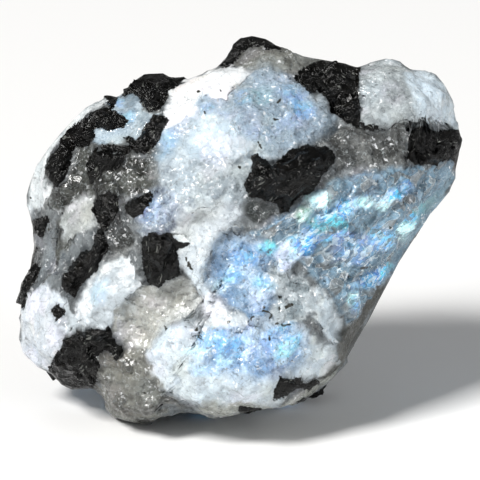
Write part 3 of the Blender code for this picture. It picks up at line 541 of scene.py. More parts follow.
# The cleavage ledges at the right.
# Here the cleavage ran out to the edge, and the break climbs it in long polished steps, each a
# couple of millimetres wide with finer ones on it. Each row of blades holds a middle, a half length
# and half width in millimetres, a turn and a rise.
LEDGE_DIRECTION = 128.0
LEDGE_WIDTH = 2.6
LEDGE_RISE = 0.5
LEDGE_DROP = 0.3
LEDGE_SWAY = 0.25
LEDGE_WAVES = (3.1, 2.3)
LEDGE_FADE = 1.5
BLADE_RISE = 1.3
BLADE_BEND = 0.5
FINE_LEDGE_WIDTH = 0.85
FINE_LEDGE_RISE = 0.15
BLADE_CLIFF = 0.25
BLADES = [(12.3, 5.6, 1.8, 1.4, 20, 0.9), (15.8, 4.1, 3.6, 1.4, 3, 1.1), (23.6, 6.6, 1.8, 0.8, 18, 0.8),
          (24.3, 4.4, 2.4, 0.9, 28, 0.9), (24.6, 1.7, 2.1, 1.4, 38, 1.1), (13.5, 0.3, 3.6, 0.8, -14, 0.8),
          (9.5, -0.5, 1.8, 1.4, 60, 1.0), (18.3, -1.4, 2.7, 1.4, 10, 0.9), (21.8, -0.5, 1.8, 1.1, 40, 0.9),
          (20.3, -5.3, 3.6, 1.1, 26, 1.2), (16.8, -7.8, 1.8, 1.1, 35, 0.8), (20.7, -8.7, 2.7, 0.9, 42, 0.9),
          (10.5, -3.3, 2.4, 1.2, 25, 0.8), (14.7, -4.2, 2.7, 1.1, 15, 0.9), (28.5, 8.3, 3.3, 1.2, 35, 1.0),
          (18.0, 8.7, 3.9, 1.1, 12, 0.8), (26.3, 10.2, 2.7, 0.8, 20, 0.6), (29.3, 4.8, 2.7, 1.1, 48, 0.9),
          (9.0, 3.3, 1.8, 1.1, 25, 0.7), (6.8, -3.3, 1.8, 1.2, 50, 0.8)]


def ledge_height(places):
    """The saw-tooth of the cleavage steps, a coarse one and a fine one."""
    turn = math.radians(LEDGE_DIRECTION)
    along = places @ np.array([math.cos(turn), math.sin(turn)])
    sway = np.sin(places[:, 0] / LEDGE_WAVES[0]) + np.cos(places[:, 1] / LEDGE_WAVES[1])
    fade = np.clip(depth_inside(places, MASSES["blue_ledges"][-1]) / LEDGE_FADE, 0, 1)
    total = np.zeros(len(places))
    for width, rise in ((LEDGE_WIDTH, LEDGE_RISE), (FINE_LEDGE_WIDTH, FINE_LEDGE_RISE)):
        steps = np.mod(along / width + LEDGE_SWAY * sway * LEDGE_WIDTH / width, 1)
        tooth = np.minimum(steps / (1 - LEDGE_DROP), (1 - steps) / LEDGE_DROP)
        total += rise * (tooth - 0.5)
    return total * fade


def blade_height(places):
    """The long lens-shaped blades of the ledges: each faces the light and ends in a small cliff."""
    total = np.zeros(len(places))
    for across, up, half_length, half_width, turn, rise in BLADES:
        cosine, sine = math.cos(math.radians(turn)), math.sin(math.radians(turn))
        away = places - np.array([across, up])
        end = (away[:, 0] * cosine + away[:, 1] * sine) / half_length
        side = (away[:, 1] * cosine - away[:, 0] * sine) / half_width
        slope = np.minimum((1 - side) / (2 - BLADE_CLIFF), (1 + side) / BLADE_CLIFF)
        total = np.maximum(total, rise * np.clip(1 - end**2, 0, 1) * np.clip(slope, 0, 1))
    return total


front_relief = ledge_height(points[:, :2])
front_relief += BLADE_RISE * blade_height(points[:, :2] + BLADE_BEND * bend)

# The tourmaline crystals.
# Black tourmaline grew through the feldspar as short ribbed prisms. Where the break cut across
# them they stand a little proud, with steep sides and a toothed edge.
# Each row holds a rise in millimetres, the slope of its sides, the turn of its ribs and its edge.
CRYSTALS = {
    "top_left_knob": (1.8, 1.5, 60, [
        (-17.4, 21.6), (-17.6, 22.8), (-16.5, 23.1), (-15.6, 24.1), (-14.4, 25.1), (-11.5, 25.2),
        (-10.5, 24.4), (-8.4, 24.8), (-7.9, 24.1), (-9.3, 23.1), (-10.7, 22.2), (-11.1, 20.7),
        (-11.7, 19.5), (-13.5, 19.2), (-14.5, 20.2), (-15.6, 22.1), (-16.5, 21.9)
    ]),
    "left_finger": (0.5, 1.0, -15, [
        (-20.6, 21.8), (-20.1, 21.9), (-18.3, 21.1), (-18.6, 20.4), (-19.2, 19.6), (-19.6, 20.7)
    ]),
    "hook": (1.5, 1.3, 40, [
        (-20.2, 19.6), (-18.6, 19.1), (-16.8, 17.8), (-17.2, 16.8), (-19.9, 16.6), (-21.8, 16.5),
        (-21.6, 15.3), (-22.5, 14.2), (-24.9, 13.9), (-25.2, 12.3), (-26.1, 9.2), (-27.9, 7.5),
        (-28.8, 9.8), (-28.5, 11.7), (-27.4, 13.5), (-25.9, 15.6), (-24.4, 17.2), (-22.1, 18.8)
    ]),
    "jagged_wedge": (1.0, 1.3, 55, [
        (-12.8, 18.4), (-10.9, 18), (-11.5, 16.3), (-12.3, 14.5), (-13.5, 13), (-15.3, 13),
        (-16.3, 14.2), (-17.1, 15.1), (-16.6, 15.4), (-15.4, 14.8), (-14.2, 16.3), (-13.9, 17.2),
        (-13, 17.7)
    ]),
    "flat_flake": (0.3, 0.8, 5, [
        (-21.3, 13.8), (-19.5, 14.1), (-17.7, 13.9), (-16.3, 13.9), (-16.5, 13), (-18.6, 12.9),
        (-20.4, 13.3)
    ]),
    "dark_core": (0.6, 0.8, 60, [
        (-21.6, 13), (-19.8, 12.9), (-17.1, 12.8), (-17.4, 11.1), (-18.6, 10.5), (-20.1, 10.5),
        (-21, 9.3), (-22.2, 8.4), (-22.6, 9.6), (-22.5, 11.5)
    ]),
    "oval": (1.2, 1.2, 65, [
        (-19.5, 7.2), (-18.4, 6.5), (-18.1, 4.8), (-18.9, 3), (-20.1, 1.2), (-20.8, 2.1), (-21.3, 3.3),
        (-21.9, 4.6), (-21.1, 6.1)
    ]),
    "small_wedge": (0.6, 1.0, 30, [
        (-16.9, 5.4), (-15.4, 6.3), (-13.8, 6.9), (-12.2, 7.2), (-13.2, 6.3), (-14.1, 5.1),
        (-14.8, 3.9), (-15.9, 3.3), (-16.8, 4)
    ]),
    "long_bar": (1.6, 1.4, 52, [
        (-21, 1.8), (-21.4, -0.4), (-22.2, -1.3), (-23.7, -2.2), (-25.1, -3.6), (-26.2, -4.8),
        (-26.6, -6.1), (-25.9, -7.6), (-24.6, -8.4), (-24, -7.2), (-23.4, -6.1), (-21.8, -4.8),
        (-20.7, -3.3), (-19.9, -1.5), (-19.8, 0.3)
    ]),
    "centre_knob": (1.9, 1.6, 80, [
        (-13.9, 0.4), (-12.8, 1.1), (-11.5, 0.8), (-10.2, 0.9), (-9.4, -0.3), (-7.3, -0.4),
        (-8.1, -1.1), (-9.4, -1.5), (-9.3, -3.3), (-9, -5.2), (-10.5, -5.8), (-12, -6.8),
        (-13.3, -6.5), (-14.2, -4.2), (-14.4, -1.5)
    ]),
    "bottom_lump": (2.4, 1.6, 35, [
        (-21.1, -13.2), (-20.4, -13.5), (-19.5, -13), (-18.9, -14.4), (-18.1, -15.3), (-17.7, -16.3),
        (-18.3, -17.7), (-19.1, -16.9), (-19.9, -16.2), (-20.8, -16.5), (-21.6, -17.1), (-20.8, -18.3),
        (-21.3, -19.5), (-21.6, -21.1), (-22.2, -22.2), (-25.3, -22.6), (-26.8, -21.9), (-27.6, -20.6),
        (-28.2, -19.9), (-28.3, -18.9), (-27.4, -17.2), (-25.9, -15.1), (-24, -13.9)
    ]),
    "notch": (0.3, 0.8, 40, [
        (-27.9, -10.2), (-27.3, -9.8), (-26.8, -10.3), (-26.1, -10.7), (-26.4, -11.2), (-27.4, -11.7),
        (-27.9, -10.8)
    ]),
    "left_tail": (0.8, 1.0, 50, [
        (-34.2, -9.4), (-32.5, -7.9), (-33.3, -6.6), (-31.5, -4.3), (-30.6, -3.3), (-30, -4.8),
        (-30.9, -6.3), (-31.8, -7.8), (-32.7, -10.2)
    ]),
    "rim_spot": (0.6, 1.0, 60, [
        (-31, 2.7), (-30.1, 3.3), (-28.9, 3.4), (-29.1, 1.8), (-29.5, 0.4), (-30.4, 0.8), (-31, 1.5)
    ]),
    "rim_streak": (0.3, 1.0, 60, [
        (-30.9, -0.9), (-30.3, -1.5), (-30.8, -3.3), (-31.3, -4.5), (-31.5, -3.3)
    ]),
    "big_crystal": (3.6, 1.8, 28, [
        (1.6, 12.3), (2.5, 12.9), (3.8, 11.8), (4.8, 10.9), (6.8, 12.4), (8.7, 13.7), (10.9, 13.9),
        (12.8, 13.9), (13.7, 12.9), (13.9, 11.5), (12.4, 10), (11.4, 8.4), (10, 7), (8.1, 5.8),
        (7.3, 4.2), (6.1, 4.2), (5.5, 5.8), (3.3, 6.1), (1.3, 6.5), (0.9, 8.4), (1.8, 10.2)
    ]),
    "summit_cap": (1.1, 1.2, 20, [
        (-3.4, 25.9), (-2.1, 27.6), (-1.1, 29.4), (0, 30.3), (1.8, 30.8), (3.9, 30.3), (6.1, 28.6),
        (4.9, 28.5), (3.3, 28.8), (1.5, 28.8), (0.4, 28.1), (-0.8, 26.9), (-2.0, 25.8)
    ]),
    "saddle_black": (1.1, 1.0, -30, [
        (8.1, 24.1), (9.4, 25.8), (13, 26.8), (16.1, 26.6), (17.8, 25.6), (17.6, 24), (17.4, 22.2),
        (17.8, 19.9), (17.8, 17.2), (19.5, 17.1), (21.6, 16.3), (18.9, 16.5), (15.8, 17.4),
        (13.8, 19.1), (12.9, 21.4), (11.4, 22.2), (10.3, 21.9), (9.3, 22.8)
    ]),
    "right_black": (1.9, 1.5, -35, [
        (25.2, 16.6), (26.6, 16.9), (28.2, 16.3), (29.5, 15.8), (30.3, 16.5), (32.5, 16.3), (33.6, 15),
        (33, 13), (32.4, 10.5), (31.6, 12.2), (30.6, 12), (29.4, 11.4), (27.8, 11.4), (26.1, 11.2),
        (24.8, 12.3), (25.3, 14.1)
    ]),
    "bottom_flake": (0.4, 1.0, 20, [
        (5.1, -23.7), (5.4, -21.9), (6.1, -20.2), (6.9, -20.8), (7.9, -20.7), (9, -20.1), (8.8, -21.6),
        (10.2, -21.3), (11.5, -20.7), (11.7, -21.3), (9.9, -22.1), (8.7, -21.9), (6.9, -22.6)
    ]),
    "bottom_line": (0.1, 0.5, 15, [
        (0, -24.8), (1.5, -25.1), (3.1, -24.9), (2.4, -25.3), (1.2, -25.6), (0, -25.3)
    ]),
    "bottom_rim": (0.2, 0.5, 5, [
        (8.5, -24.4), (9.8, -23.7), (10.8, -23.2), (9.9, -24), (8.8, -24.4)
    ]),
}
RIM_WRAP = 0.4
RIM_PULL = 0.35
BACK_BARS = [(-14, 11, 12, 5, 35), (-3, 17, 7, 4.5, -20), (10, 13, 13, 4, 12), (22, 12, 6, 6, 60),
             (-24, -3, 9, 4, 80), (-9, -2, 8, 6.5, 20), (3, 2, 5, 3, 75), (14, -2, 10, 4.5, -48),
             (-18, -14, 11, 5, -15), (-2, -15, 9, 4, 50), (9, -14, 6, 5, 5)]
BACK_BAR_RISE = 0.9
WALL_BARS = [(-68, -9, 10, 4, 20), (28, -9, 11, 4.5, 15), (72, -8, 8, 5, -30),
             (108, -9, 10, 4, 50), (150, -9, 12, 5, -10), (188, -10, 8, 5, 65), (-150, -9, 11, 4.5, 30),
             (-38, -12, 7, 3.5, -60)]
WALL_BAR_RISE = 0.9
BAR_SLOPE = 1.3
WALL_START = 0.72
TEETH = [(0.30, 1.5, 130), (0.22, 0.6, 170)]
LEAST_TEETH = 0.1
FULL_TEETH = 1.5
BAR_BEND = 1.7
BAR_BEND_SIZE = 3.0
FAR_OUTSIDE = -9.0


def depth_in_bar(across, up, length, width, turn):
    """How far each point lies inside a bar centred on zero; outside it is negative."""
    cosine, sine = math.cos(math.radians(turn)), math.sin(math.radians(turn))
    past_end = np.abs(across * cosine + up * sine) - length / 2
    past_side = np.abs(up * cosine - across * sine) - width / 2
    outside = np.hypot(np.maximum(past_end, 0), np.maximum(past_side, 0))
    return -(outside + np.minimum(np.maximum(past_end, past_side), 0))


def ribs_across(places, turn):
    """The place across and along a crystal's ribs, which run at this turn."""
    cosine, sine = math.cos(math.radians(turn)), math.sin(math.radians(turn))
    across = places[:, 1] * cosine - places[:, 0] * sine
    return np.column_stack([across, places[:, 0] * cosine + places[:, 1] * sine])


facing = np.abs(normals_of(lump, points)[:, 2])
teeth = waves(points, TEETH) * np.clip(FULL_TEETH * facing, LEAST_TEETH, 1)
black = np.full(len(points), FAR_OUTSIDE)
ribs = points[:, :2].copy()
which = np.zeros(len(points))
at_rim = smooth_step(1 - np.abs(height) / RIM_WRAP)
inward = 1 - RIM_PULL * at_rim / np.hypot(*points[:, :2].T)
for number, (rise, slope, turn, outline) in enumerate(CRYSTALS.values()):
    depth = depth_inside(points[:, :2] * inward[:, None], outline) + teeth
    front_relief += np.clip(slope * depth, 0, rise)
    ribs = np.where((depth > black)[:, None], ribs_across(points[:, :2], turn), ribs)
    which = np.where(depth > black, number, which)
    black = np.maximum(black, depth)

bowed = points + BAR_BEND * np.column_stack([
    soft_noise(points, BAR_BEND_SIZE, start) for start in (230, 250, 270)])
behind_rise = np.zeros(len(points))
behind_black = np.full(len(points), FAR_OUTSIDE)
reach = outline_reach(angles)
on_wall = (np.hypot(*points[:, :2].T) > reach * WALL_START) & (height < 0)
bars = [(False, BACK_BAR_RISE, *bar) for bar in BACK_BARS]
bars += [(True, WALL_BAR_RISE, *bar) for bar in WALL_BARS]
for number, (wall, rise, across, middle, length, width, turn) in enumerate(bars, len(CRYSTALS)):
    flat = points[:, :2]
    away = bowed[:, :2] - np.array([across, middle])
    if wall:
        along = np.angle(np.exp(1j * (angles - math.radians(across)))) * reach
        flat = np.column_stack([along, points[:, 2] - middle])
        away = np.column_stack([along + bowed[:, 0] - points[:, 0], bowed[:, 2] - middle])
    depth = depth_in_bar(*away.T, length, width, turn) + teeth
    depth = np.where(on_wall == wall, depth, FAR_OUTSIDE)
    behind_rise = np.maximum(behind_rise, np.clip(BAR_SLOPE * depth, 0, rise))
    newer = (depth > behind_black) & (height <= 0)
    ribs = np.where(newer[:, None], ribs_across(flat, turn), ribs)
    which = np.where(newer, number, which)
    behind_black = np.maximum(behind_black, depth)
black = np.where(height > -RIM_WRAP / 2, black, behind_black)

normals = normals_of(lump, points)
points[:, 2] += front_relief * in_front
points += normals * (behind_rise * smooth_step(-height / FACE_FADE))[:, None]

# The fine chips.
# Chips of a few millimetres down to under one cover the feldspar. On the ledges they are long
# blades along the cleavage, and on the crystals they follow the ribs.
BLADE_TURN = 38.0
BLADE_STRETCH = 2.2
BLADE_CHIPS = [(2.2, 0.6, 0.30, 0.45), (1.1, 0.8, 0.35, 0.22)]
RIB_STRETCH = 2.5
CRYSTAL_CHIPS = [(2.2, 0.7, 0.45, 0.70), (1.1, 0.7, 0.50, 0.35)]
CRYSTALS_APART = 100
CRYSTAL_FADE = 0.3
BLADE_FADE = 0.8
BLADE_LIGHT = 0.5

mineral = smooth_step(black / CRYSTAL_FADE)
blade = smooth_step(depth_inside(face, MASSES["blue_ledges"][-1]) / BLADE_FADE) * in_front
broken = chipped * off_rim * (1 - calm) * (1 - mineral)
facet = np.zeros(len(points))
for (size, flatness, tilt, rise), light in zip(FINE_CHIPS, CHIP_LIGHT):
    share = broken * (1 - blade)
    points, lot = chip(points, size, flatness * share, tilt * share, rise * share)
    facet += light * lot * (1 - blade)
for size, flatness, tilt, rise in BLADE_CHIPS:
    across, along = ribs_across(points[:, :2], BLADE_TURN).T
    stretched = np.column_stack([across, along / BLADE_STRETCH, points[:, 2]])
    share = broken * blade
    points, lot = chip(points, size, flatness * share, tilt * share, rise * share, stretched)
    facet += BLADE_LIGHT * lot * blade
for size, flatness, tilt, rise in CRYSTAL_CHIPS:
    own_ribs = ribs[:, 0] + CRYSTALS_APART * which
    stretched = np.column_stack([own_ribs, ribs[:, 1] / RIB_STRETCH, points[:, 2]])
    share = mineral * off_rim * (1 - calm)
    points, lot = chip(points, size, flatness * share, tilt * share, rise * share, stretched)

# The smoky darkening round the crystals, and the specks.
# Close to the crystals the feldspar is darker, partly smoky and partly painted shade where they stand proud
# of it; elsewhere it has a faint cast of one colour or other, and needles and grains of the black mineral
# lie in it: each row has a place, half length and turn.
SMOKE_AND_SHADE_REACH = 1.5
SMOKE_AND_SHADE = 0.45
CLEAR_SMOKE_AND_SHADE = 0.3
SMOKY_BELOW = 0.5
SMOKY_EDGE = 0.3
CAST_SIZE = 4.5
SPECK_WIDTH = 0.18
SPECKS = [(8.3, -5.9, 0.4, -5), (7.2, -9.9, 0.6, 35), (3.9, -10.7, 0.6, -10), (4.5, -11.4, 0.4, 50),
          (6.9, -12.4, 0.6, -12), (5.6, -12.1, 0.3, 0), (1.7, -12.0, 0.3, 35), (-1.9, -12.0, 0.2, 0),
          (4.4, -14.6, 0.3, 80), (-6.0, -13.7, 1.0, -60), (-7.6, -3.2, 0.6, -55),
          (-7.3, -4.1, 0.5, -55), (-11.6, -12.6, 0.4, -50), (8.2, -18.3, 0.2, 0), (5.7, -8.6, 0.2, 0),
          (5.3, 17.9, 0.4, 0), (2.9, 14.0, 0.5, -60), (5.9, 21.0, 0.3, 60), (-6.2, 21.9, 0.2, 0),
          (0.0, 10.8, 0.2, 0), (17.9, -3.9, 0.6, 10), (23.9, 0.6, 0.3, 0)]

CASTS = [(0.97, 1.0, 1.03), (1.03, 0.98, 1.02), (1.03, 1.01, 0.96)]

for number, cast in enumerate(CASTS):
    patch = smooth_step((soft_noise(points, CAST_SIZE, 300 + 20 * number) - 0.1) / 0.4)[:, None]
    tint *= 1 + patch * (np.array(cast) - 1)
smoky = smooth_step((SMOKY_BELOW - tint.mean(axis=1)) / SMOKY_EDGE)
# Painted shade, with smoky colour: the feldspar darkens towards the edge of each crystal, most in the smoky
# masses.
smoke_and_shade = smooth_step(1 + black / SMOKE_AND_SHADE_REACH) * (CLEAR_SMOKE_AND_SHADE + (1 - CLEAR_SMOKE_AND_SHADE) * smoky) * SMOKE_AND_SHADE
tint *= (1 - smoke_and_shade)[:, None]
second *= (1 - smoke_and_shade)[:, None]
specks = np.zeros(len(points))
for across, up, half_length, turn in SPECKS:
    side, end = np.abs(ribs_across(face - np.array([across, up]), turn).T)
    away = np.hypot(np.maximum(end - half_length, 0), side) / SPECK_WIDTH
    specks = np.maximum(specks, np.exp(-(away**2)) * in_front)

# The blue flash.
# Light scatters between thin layers inside the feldspar, and where a cleavage plane faces the
# right way it flashes cobalt, azure or cyan, brightest on the ledges and in the bowl. Here this sheen
# is painted into the colour at fixed places, on the front and in patches on the back.
# Each row holds a middle, a half length and half width in millimetres, a turn, a colour, a strength.
FLASH_COLOURS = {
    "indigo": (98, 134, 190), "cobalt": (60, 124, 214), "azure": (74, 152, 230),
    "sky": (116, 178, 240), "cyan": (92, 206, 246), "ice": (206, 244, 255),
    "pearl": (214, 224, 252), "violet": (142, 160, 216), "teal": (88, 150, 170), "mint": (150, 200, 190),
}
FLASHES = [
    (11.7, 5.5, 1.9, 1.1, -15, "ice", 1), (14.7, 4.2, 3.0, 1.2, 25, "azure", 1),
    (15.9, 4.6, 2.1, 0.6, 25, "sky", 1), (17.7, 5.4, 2.1, 0.6, 12, "ice", 0.9),
    (14.2, 2.7, 1.5, 0.8, -20, "cyan", 0.9), (9.9, -0.4, 1.3, 1.9, -20, "cobalt", 1),
    (10.3, 0.1, 0.6, 0.9, -20, "azure", 1), (11.7, 1.8, 1.8, 0.9, -35, "teal", 0.7),
    (13.5, 0.4, 2.4, 0.6, 10, "azure", 0.9), (16.8, 0.3, 3.3, 0.8, -5, "violet", 0.9),
    (16.8, -1.5, 3.3, 1.9, 12, "indigo", 0.8), (22.8, 6.8, 2.2, 0.8, 35, "azure", 1),
    (21.3, 5.0, 0.9, 0.9, 0, "ice", 1), (21.3, 0.4, 1.6, 1.6, 40, "sky", 0.9),
    (24.6, 1.9, 1.6, 1.5, 35, "ice", 1), (24.3, 3.3, 1.1, 0.6, 20, "azure", 1),
    (26.2, 3.9, 1.8, 0.9, 40, "cyan", 0.7), (22.3, -0.4, 1.3, 0.8, 45, "sky", 0.9),
    (20.2, -5.4, 3.6, 1.1, 20, "cobalt", 0.8), (21.9, -4.6, 1.6, 0.8, 20, "cyan", 1),
    (17.4, -6.3, 0.9, 0.8, 0, "indigo", 0.9), (16.3, -8.7, 0.9, 0.8, 0, "ice", 0.8),
    (16.9, -9.3, 0.8, 1.1, 0, "azure", 0.6), (28.6, 5.2, 1.5, 0.9, 35, "mint", 0.7),
    (30.0, 6.5, 1.2, 0.9, 40, "mint", 0.5), (9.4, 3.6, 1.1, 1.1, 0, "mint", 0.8),
    (8.5, -0.8, 1.1, 1.5, -20, "sky", 0.6), (3.9, -1.1, 1.3, 0.9, -15, "cyan", 0.9),
    (6.6, -2.1, 1.8, 1.3, 35, "pearl", 0.9), (0.6, -2.5, 1.8, 1.3, -20, "azure", 0.7),
    (-1.2, -5.2, 1.5, 1.2, 0, "sky", 0.8), (-2.7, -6.5, 0.9, 1.1, 0, "ice", 0.7),
    (3.3, -6.5, 1.3, 1.2, 0, "sky", 0.8), (2.7, -8.2, 1.5, 0.9, 10, "pearl", 0.9),
    (1.8, -10.0, 1.8, 0.9, 15, "pearl", 0.6), (-4.0, -14.4, 2.1, 1.3, 20, "sky", 0.8),
    (-6.5, -16.5, 1.5, 0.8, 10, "ice", 0.9), (-1.2, -15.9, 2.1, 1.3, -10, "azure", 0.8),
    (1.2, -16.6, 1.2, 1.1, 20, "pearl", 0.9), (3.3, -15.9, 1.3, 1.2, 30, "violet", 0.7),
    (6.9, -15.9, 1.8, 1.1, 40, "cyan", 0.9), (7.9, -14.7, 1.1, 0.9, 40, "azure", 0.9),
    (-5.2, -19.2, 2.1, 0.9, -20, "sky", 0.6), (-2.2, -17.7, 1.3, 0.9, 0, "ice", 0.7),
    (6.1, -13.2, 1.8, 0.8, 15, "azure", 0.6), (0.0, -13.5, 2.1, 0.8, -10, "violet", 0.6),
    (-13.5, 4.8, 1.3, 1.8, -10, "violet", 0.7), (-12.0, 3.8, 1.1, 1.1, 0, "pearl", 0.6),
    (-10.2, 6.3, 0.9, 0.9, 0, "pearl", 0.5), (8.2, 21.0, 2.1, 1.2, -30, "cobalt", 0.5),
    (9.8, 19.5, 1.5, 1.1, -30, "azure", 0.5), (7.8, 17.7, 2.1, 1.1, 20, "violet", 0.5),
    (3.3, 15.8, 2.1, 1.1, 0, "violet", 0.4), (0.8, 21.3, 1.3, 1.1, 0, "azure", 0.4),
    (3.3, 21.8, 1.5, 1.3, 0, "teal", 0.4), (-4.8, 19.2, 1.3, 0.8, -25, "azure", 0.4),
    (-2.2, 18.0, 1.3, 0.6, -25, "violet", 0.35), (-10.8, 15.0, 0.9, 1.8, -20, "azure", 0.35),
    (-18.3, 20.2, 0.9, 0.6, 0, "azure", 0.5), (-16.8, 18.0, 1.3, 0.9, 30, "sky", 0.5),
    (25.5, 7.8, 1.1, 0.6, 20, "azure", 0.6), (24.8, 8.5, 0.8, 0.4, 0, "cobalt", 0.6),
    (-21.0, -7.5, 1.2, 2.1, -25, "sky", 0.3), (-32.4, -16.8, 1.3, 0.9, -30, "sky", 0.5)
]

FLASH_BEND = 0.8
FLASH_RAGGED = 0.7
FLASH_REACH = 1.5
FLASH_EDGE = 0.9
COVERING = 1.2
OFF_LEDGES = 0.6
BACK_FLASH = 0.5
BACK_FLASH_SIZE = 6.0

glow = np.tile(linear(FLASH_COLOURS["azure"]), (len(points), 1))
flash = np.zeros(len(points))
for across, up, half_length, half_width, turn, colour, strength in FLASHES:
    side, end = ribs_across(face + FLASH_BEND * bend - np.array([across, up]), turn).T
    away = np.hypot(end / half_length, side / half_width) + FLASH_RAGGED * ragged
    share = strength * smooth_step((FLASH_REACH - away) / FLASH_EDGE) * in_front
    newest = np.minimum(share / (flash + share + CORNER) * COVERING, 1) * (share > 0)
    glow += newest[:, None] * (linear(FLASH_COLOURS[colour]) - glow)
    flash += share * (1 - flash)
back_flash = smooth_step((soft_noise(points, BACK_FLASH_SIZE, 210) - 0.25) / 0.3) * behind
flash = np.maximum(flash * (OFF_LEDGES + (1 - OFF_LEDGES) * blade), back_flash * BACK_FLASH)


def keep(mesh, name, kind, values):
    """Stores a value for every vertex under a name that a material can read."""
    layer = mesh.attributes.new(name, kind, "POINT")
    if kind == "FLOAT_COLOR":
        values = np.column_stack([values, np.ones(len(values))])
    key = {"FLOAT": "value", "FLOAT_COLOR": "color", "FLOAT_VECTOR": "vector"}[kind]
    layer.data.foreach_set(key, values.astype(np.float32).ravel())


normals_of(lump, points)
for name, values in (("tint", tint), ("second_tint", second), ("glow", glow)):
    keep(lump, name, "FLOAT_COLOR", values)
for name, values in (("flash", flash), ("sparkle", sparkle), ("facet", facet), ("specks", specks),
                     ("blades", blade), ("chipped", chipped), ("tourmaline", black)):
    keep(lump, name, "FLOAT", values)
keep(lump, "ribs", "FLOAT_VECTOR", np.column_stack([ribs, points[:, 2]]))

# The stone on its foot.
# The lump is leant back on a flat break at its foot, which is cut here as one level face, and it is
# set on the middle of the solid that it dresses, with its tips kept inside that solid's box.
SOLID_MIDDLE = (-0.174, -2.739)
FOOT_TINT = (170, 174, 175)
FOOT_CUTS = 2

stone = bpy.data.objects.new("moonstone_rough", lump)
bpy.context.scene.collection.objects.link(stone)
if len(lump.polygons) > MOST_TRIANGLES:
    thin = stone.modifiers.new("fewer_triangles", "DECIMATE")
    thin.ratio = MOST_TRIANGLES / len(lump.polygons)
    graph = bpy.context.evaluated_depsgraph_get()
    stone.data = bpy.data.meshes.new_from_object(stone.evaluated_get(graph))
    stone.modifiers.clear()

shape = bmesh.new()
shape.from_mesh(stone.data)
shape.transform(Matrix.Rotation(math.radians(90 - LEAN), 4, "X"))
everything = shape.verts[:] + shape.edges[:] + shape.faces[:]
cut = bmesh.ops.bisect_plane(shape, geom=everything, plane_co=(0, 0, FOOT_LEVEL),
                             plane_no=(0, 0, 1), clear_inner=True)
rim = [item for item in cut["geom_cut"] if isinstance(item, bmesh.types.BMEdge)]
foot = bmesh.ops.contextual_create(shape, geom=rim)["faces"]
foot = bmesh.ops.triangulate(shape, faces=foot)["faces"]

# The foot is plain feldspar: it gets corners inside its rim, which don't take the rim's values.
within = set(foot)
inner = list(dict.fromkeys(
    edge for part in foot for edge in part.edges if within.issuperset(edge.link_faces)))
on_rim = {vertex for edge in rim for vertex in edge.verts}
bmesh.ops.subdivide_edges(shape, edges=inner, cuts=FOOT_CUTS, use_grid_fill=True)
bmesh.ops.triangulate(shape, faces=[part for part in shape.faces if len(part.verts) > 3])
colours, numbers = shape.verts.layers.float_color, shape.verts.layers.float
for vertex in shape.verts:
    if abs(vertex.co.z - FOOT_LEVEL) < CORNER and vertex not in on_rim:
        vertex[numbers["tourmaline"]] = FAR_OUTSIDE
        vertex[numbers["flash"]] = 0.0
        vertex[colours["tint"]] = (*linear(FOOT_TINT), 1.0)
        vertex[colours["second_tint"]] = (*linear(PLAIN_TINT), 1.0)
face_middle = np.array([-SOLID_MIDDLE[0], -SOLID_MIDDLE[1], -FOOT_LEVEL]) * MM
shape.transform(Matrix.Scale(MM, 4))
shape.transform(Matrix.Translation(tuple(face_middle)))
lowest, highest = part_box("moonstone")
for vertex in shape.verts:
    vertex.co = [min(max(part, low), high) for part, low, high in zip(vertex.co, lowest, highest)]
shape.to_mesh(stone.data)
shape.free()
stone.data.shade_smooth()

# The minerals' finish.
# Feldspar is glassy to pearly, lets light in a millimetre or two, and glitters where small cleavage
# planes catch the light; beside that, glints and a blue sheen are painted into its colour. Tourmaline is
# opaque black, ribbed and glossy on its breaks, with painted grey glints.
GRAIN_SCALE = 0.9
CRUMB_SCALE = 2.6
FLAKE_SCALE = 2.6
CRACK_SCALE = 0.3
SPECK_SCALE = 0.24
BLACK_GLINT_SCALE = 2.4
PLANE_SHAPE = (0.30, 0.68, 0.5)
STREAK_SHAPE = (0.3, 1.4, 0.8)
RIB_SHAPE = (3.2, 0.5, 0.5)
FLASH_HIGHLIGHT_TINT = (232, 250, 255)
WARM_TINT = (156, 150, 140)
PAINTED_GLINT_TINT = (250, 252, 255)
GRIT_TINT = (70, 72, 74)
SHADE_AND_HAIRLINE_TINT = (84, 92, 98)
PAINTED_HIGHLIGHT_TINT = (240, 250, 253)
CRACK_TINT = (120, 122, 122)
SPECK_TINT = (48, 48, 42)
BLACK_TINTS = [(1, 1, 1), (16, 16, 14), (16, 13, 8)]
BLACK_GLINT_TINT = (112, 114, 110)

finish = bpy.data.materials.new("moonstone_and_tourmaline")
finish.use_nodes = True
tree = finish.node_tree
shader = tree.nodes["Principled BSDF"]


def add(kind, inputs=None, **settings):
    """A node of this kind with its settings, its inputs linked to a socket or set to a value."""
    node = tree.nodes.new("ShaderNode" + kind)
    for key, value in settings.items():
        setattr(node, key, value)
    for key, value in (inputs or {}).items():
        if isinstance(value, bpy.types.NodeSocket):
            tree.links.new(value, node.inputs[key])
        else:
            node.inputs[key].default_value = value
    return node


def maths(operation, *values, clamp=False):
    """The result of one sum on sockets or numbers."""
    return add("Math", dict(enumerate(values)), operation=operation, use_clamp=clamp).outputs[0]


def plus(first, other):
    """One value and another."""
    return maths("ADD", first, other)


def minus(first, other):
    """One value less another."""
    return maths("SUBTRACT", first, other)


def times(first, other, clamp=False):
    """One value times another."""
    return maths("MULTIPLY", first, other, clamp=clamp)


def swing(value, reach):
    """A value from 0 to 1 as a swing to either side of zero."""
    return times(minus(value, 0.5), reach)


def ramp(value, start, end, low=0.0, high=1.0):
    """A smooth change from low to high as the value goes from start to end."""
    node = add("MapRange", {"Value": value, "From Min": start, "From Max": end,
                            "To Min": low, "To Max": high}, interpolation_type="SMOOTHSTEP")
    return node.outputs["Result"]


